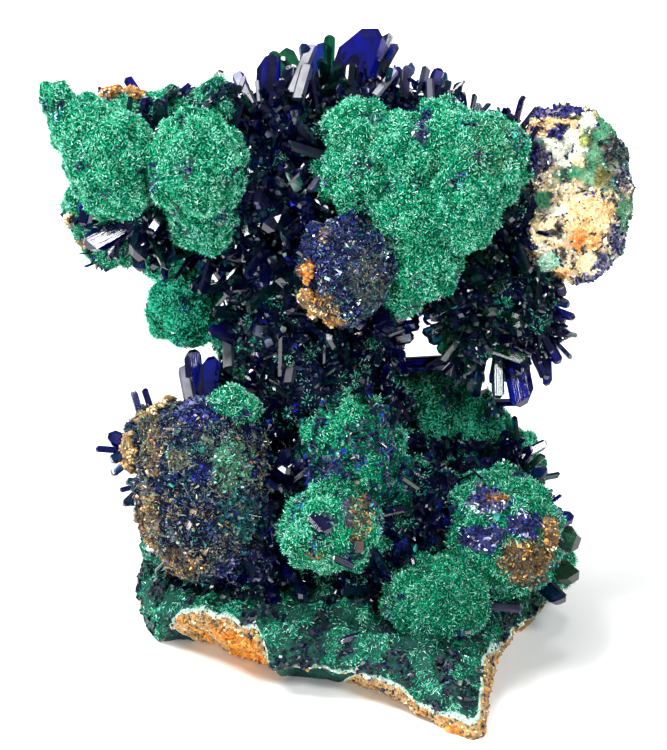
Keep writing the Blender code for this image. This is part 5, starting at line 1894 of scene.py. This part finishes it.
class SPECIMEN_OT_blades(bpy.types.Operator):
    """Makes the azurite blades: the large single ones, the fans, and the small ones that grow between"""

    bl_idname = "specimen.blades"
    bl_label = "Azurite blades"

    def execute(self, context):
        finish = azurite_material()
        rows = np.array(BLADES + SLIVERS)
        singles = blade_forms(rows[:, :7], BLADE_FLATNESS, MOST_ROLL, BLADE_SEED, rows[:, 7])
        fans = blade_forms(fan_blades(), FAN_FLATNESS, MOST_ROLL, FAN_SHAPE_SEED)
        blade_object("blades", [singles, fans], LARGE_GREEN, finish)
        grown = [
            grown_blades(bpy.data.objects[name], groups, SEEDS[f"blades_on_{name}"])
            for name, groups in (("azurite_balls", DRUSE_GROUPS), ("malachite_balls", VELVET_GROUPS))
        ]
        small = blade_forms(np.concatenate(grown), SMALL_FLATNESS, np.pi, SEEDS["small_shapes"])
        blade_object("small_blades", [small], SMALL_GREEN, finish)
        return {"FINISHED"}


class SPECIMEN_OT_broken_ball(bpy.types.Operator):
    """Makes the ball at the upper right, whose front is broken open"""

    bl_idname = "specimen.broken_ball"
    bl_label = "Broken ball"

    def zones(self, place, normal, rng):
        """The number of each place's zone. The two after the last are the rest of the face and the outside.

        A dark crack runs between most of a zone's edge and the next zone.
        """
        zone = patch_at(place, BREAK_ZONES, BREAK_FROM, rng)
        smaller = [
            (*row[:2], CRACK_INSIDE * row[2], CRACK_INSIDE * row[3], *row[4:]) for row in BREAK_ZONES
        ]
        inner = patch_at(place, smaller, BREAK_FROM, rng)
        crack = (zone >= 0) & (zone != inner) & (waves(place, CRACK_WAVE, SEEDS["cracks"]) > CRACK_ABOVE)
        zone = np.where(crack, column(BREAK_ZONES, PATCH_MIX).index("dark"), zone)
        away = as_seen(normal) @ unit(np.array(BREAK_TOWARDS)) < BREAK_FACING
        outside = (as_seen(place)[:, 2] < BREAK_FROM) | away
        zone = np.where((zone < 0) & outside, len(BREAK_ZONES) + 1, zone)
        return np.where(zone < 0, len(BREAK_ZONES), zone)

    def execute(self, context):
        material = painted_material("broken_ball")
        ball = ground("broken_ball", BREAK_GROUPS, BREAK_INSET, COARSE_RELIEF, material)
        names = column(BREAK_ZONES, PATCH_MIX) + ["speckled", "dark"]
        seed = SEEDS["break_growth"]
        rng = np.random.default_rng(seed)
        put_values(ball, paint=mean_colours(names)[self.zones(*skin_of(ball.data), rng)])
        place, normal = sites(ball, BREAK_DENSITY, seed + 1)
        zone = self.zones(place, normal, rng)
        kept = in_the_open(place, BREAK_GROUPS, BREAK_MARGIN)
        outer = zone == len(names) - 1
        covered = under_velvet(place, BREAK_COVER)
        green = np.isin(np.array(names)[zone], BREAK_VELVET)
        blue = np.isin(np.array(names)[zone], BREAK_DRUSE) & ~outer
        draw = rng.uniform(size=len(place))
        tufts = context.scene.specimen_sizes.tufts / BREAK_DENSITY
        part = kept & (green | (outer & covered)) & (draw < tufts)
        dull = drawn_colours(["broken_green"], np.zeros(len(place), int), place, FINE_SHADES, rng)
        velvet("velvet_broken", place[part], normal[part], dull[part], FUZZ_STRETCH)
        part = kept & (blue | (outer & ~covered)) & (draw < BREAK_GRAIN_SHARE)
        paint = drawn_colours(names, zone, place, CRUMB_SHADES, rng)
        grains("druse_broken", place[part], normal[part], PATCH_GRAIN, paint[part], rng)
        part = kept & ~green & ~blue & ~outer
        crumbled("break_crumbs", place[part], normal[part], BREAK_CRUMB, paint[part], rng)
        return {"FINISHED"}


class SPECIMEN_OT_knobs(bpy.types.Operator):
    """Makes the limonite knobs that stand out of the balls, covered with crumbs"""

    bl_idname = "specimen.knobs"
    bl_label = "Limonite knobs"

    def execute(self, context):
        seed = SEEDS["knobs"]
        rng = np.random.default_rng(seed)
        ball, face_sets = ball_grid(*KNOB_GRID)
        *places, names = zip(*KNOBS)
        rows = np.array(places).T
        middles, sizes = rows[:, :3], rows[:, 3:]
        skin = middles[:, None] + ball * sizes[:, None]
        skin += KNOB_RELIEF * sizes[:, None] * ball * waves(skin, KNOB_WAVE, seed + 1)[..., None]
        faces = repeated(face_sets, len(KNOBS), len(ball))
        knobs = mesh_object("knobs", seen(skin).reshape(-1, 3), faces, smooth=True)
        own = per_point(np.arange(len(KNOBS), dtype=float), len(ball))
        # Painted shade: the knobs are darkened under their crumbs so that the gaps between them look shaded.
        put_values(knobs, paint=per_point(KNOB_SHADE * mean_colours(names), len(ball)))
        finished(knobs, painted_material("knobs"))
        place, normal, number = sites(knobs, KNOB_CRUMB_DENSITY, seed + 2, own)
        paint = drawn_colours(names, number.round().astype(int), place, FINE_SHADES, rng)
        crumbled("knob_crumbs", place, normal, KNOB_CRUMB, paint, rng)
        return {"FINISHED"}


class SPECIMEN_OT_stage(bpy.types.Operator):
    """Makes the pale floor, the soft lights and the camera"""

    bl_idname = "specimen.stage"
    bl_label = "Stage"

    def execute(self, context):
        scene = context.scene
        corners = FLOOR_HALF * np.array([(-1, -1, 0), (1, -1, 0), (1, 1, 0), (-1, 1, 0)])
        floor = mesh_object("floor", corners, [np.array([(0, 1, 2, 3)])], scale=1.0)
        floor.data.materials.append(floor_material())
        world = bpy.data.worlds.new("studio")
        world.use_nodes = True
        background = world.node_tree.nodes["Background"]
        background.inputs["Color"].default_value = WHITE
        background.inputs["Strength"].default_value = WORLD_LIGHT
        scene.world = world
        aim = Vector(LIGHTS_AIM)
        for name, place, size, power in LIGHTS:
            light = bpy.data.objects.new(name, bpy.data.lights.new(name, "AREA"))
            light.data.size = size
            light.data.energy = power
            light.location = place
            light.rotation_euler = (aim - light.location).to_track_quat("-Z", "Y").to_euler()
            scene.collection.objects.link(light)
        camera = bpy.data.objects.new("camera", bpy.data.cameras.new("camera"))
        camera.data.sensor_width = SENSOR_WIDTH
        camera.data.lens = SENSOR_WIDTH * CAMERA_DISTANCE / PICTURE_HEIGHT
        camera.data.clip_start, camera.data.clip_end = CAMERA_RANGE
        camera.location = seen(CAMERA_AIM) * MM + CAMERA_DISTANCE * seen((0.0, 0.0, 1.0))
        camera.rotation_euler = (np.radians(90.0 - VIEW_TILT), 0.0, 0.0)
        scene.collection.objects.link(camera)
        scene.camera = camera
        scene.view_settings.view_transform = "Standard"
        return {"FINISHED"}


class SPECIMEN_PT_growths(bpy.types.Panel):
    bl_idname = "SPECIMEN_PT_growths"
    bl_label = "Specimen"
    bl_space_type = "VIEW_3D"
    bl_region_type = "UI"
    bl_category = "Specimen"

    def draw(self, context):
        for settings in (context.scene.specimen_sizes, context.scene.specimen_colours):
            for name in settings.__annotations__:
                self.layout.prop(settings, name)
        for operator in OPERATORS:
            self.layout.operator(operator.bl_idname)


OPERATORS = (
    SPECIMEN_OT_crust,
    SPECIMEN_OT_malachite_balls,
    SPECIMEN_OT_azurite_balls,
    SPECIMEN_OT_blades,
    SPECIMEN_OT_broken_ball,
    SPECIMEN_OT_knobs,
    SPECIMEN_OT_stage,
)
CLASSES = (SpecimenSizes, SpecimenColours, *OPERATORS, SPECIMEN_PT_growths)


def register():
    for part in CLASSES:
        bpy.utils.register_class(part)
    bpy.types.Scene.specimen_sizes = PointerProperty(type=SpecimenSizes)
    bpy.types.Scene.specimen_colours = PointerProperty(type=SpecimenColours)


def unregister():
    del bpy.types.Scene.specimen_colours
    del bpy.types.Scene.specimen_sizes
    for part in reversed(CLASSES):
        bpy.utils.unregister_class(part)


def main():
    register()
    bpy.ops.specimen.crust()
    bpy.ops.specimen.malachite_balls()
    bpy.ops.specimen.azurite_balls()
    bpy.ops.specimen.blades()
    bpy.ops.specimen.broken_ball()
    bpy.ops.specimen.knobs()
    bpy.ops.specimen.stage()


if __name__ == "__main__":
    main()
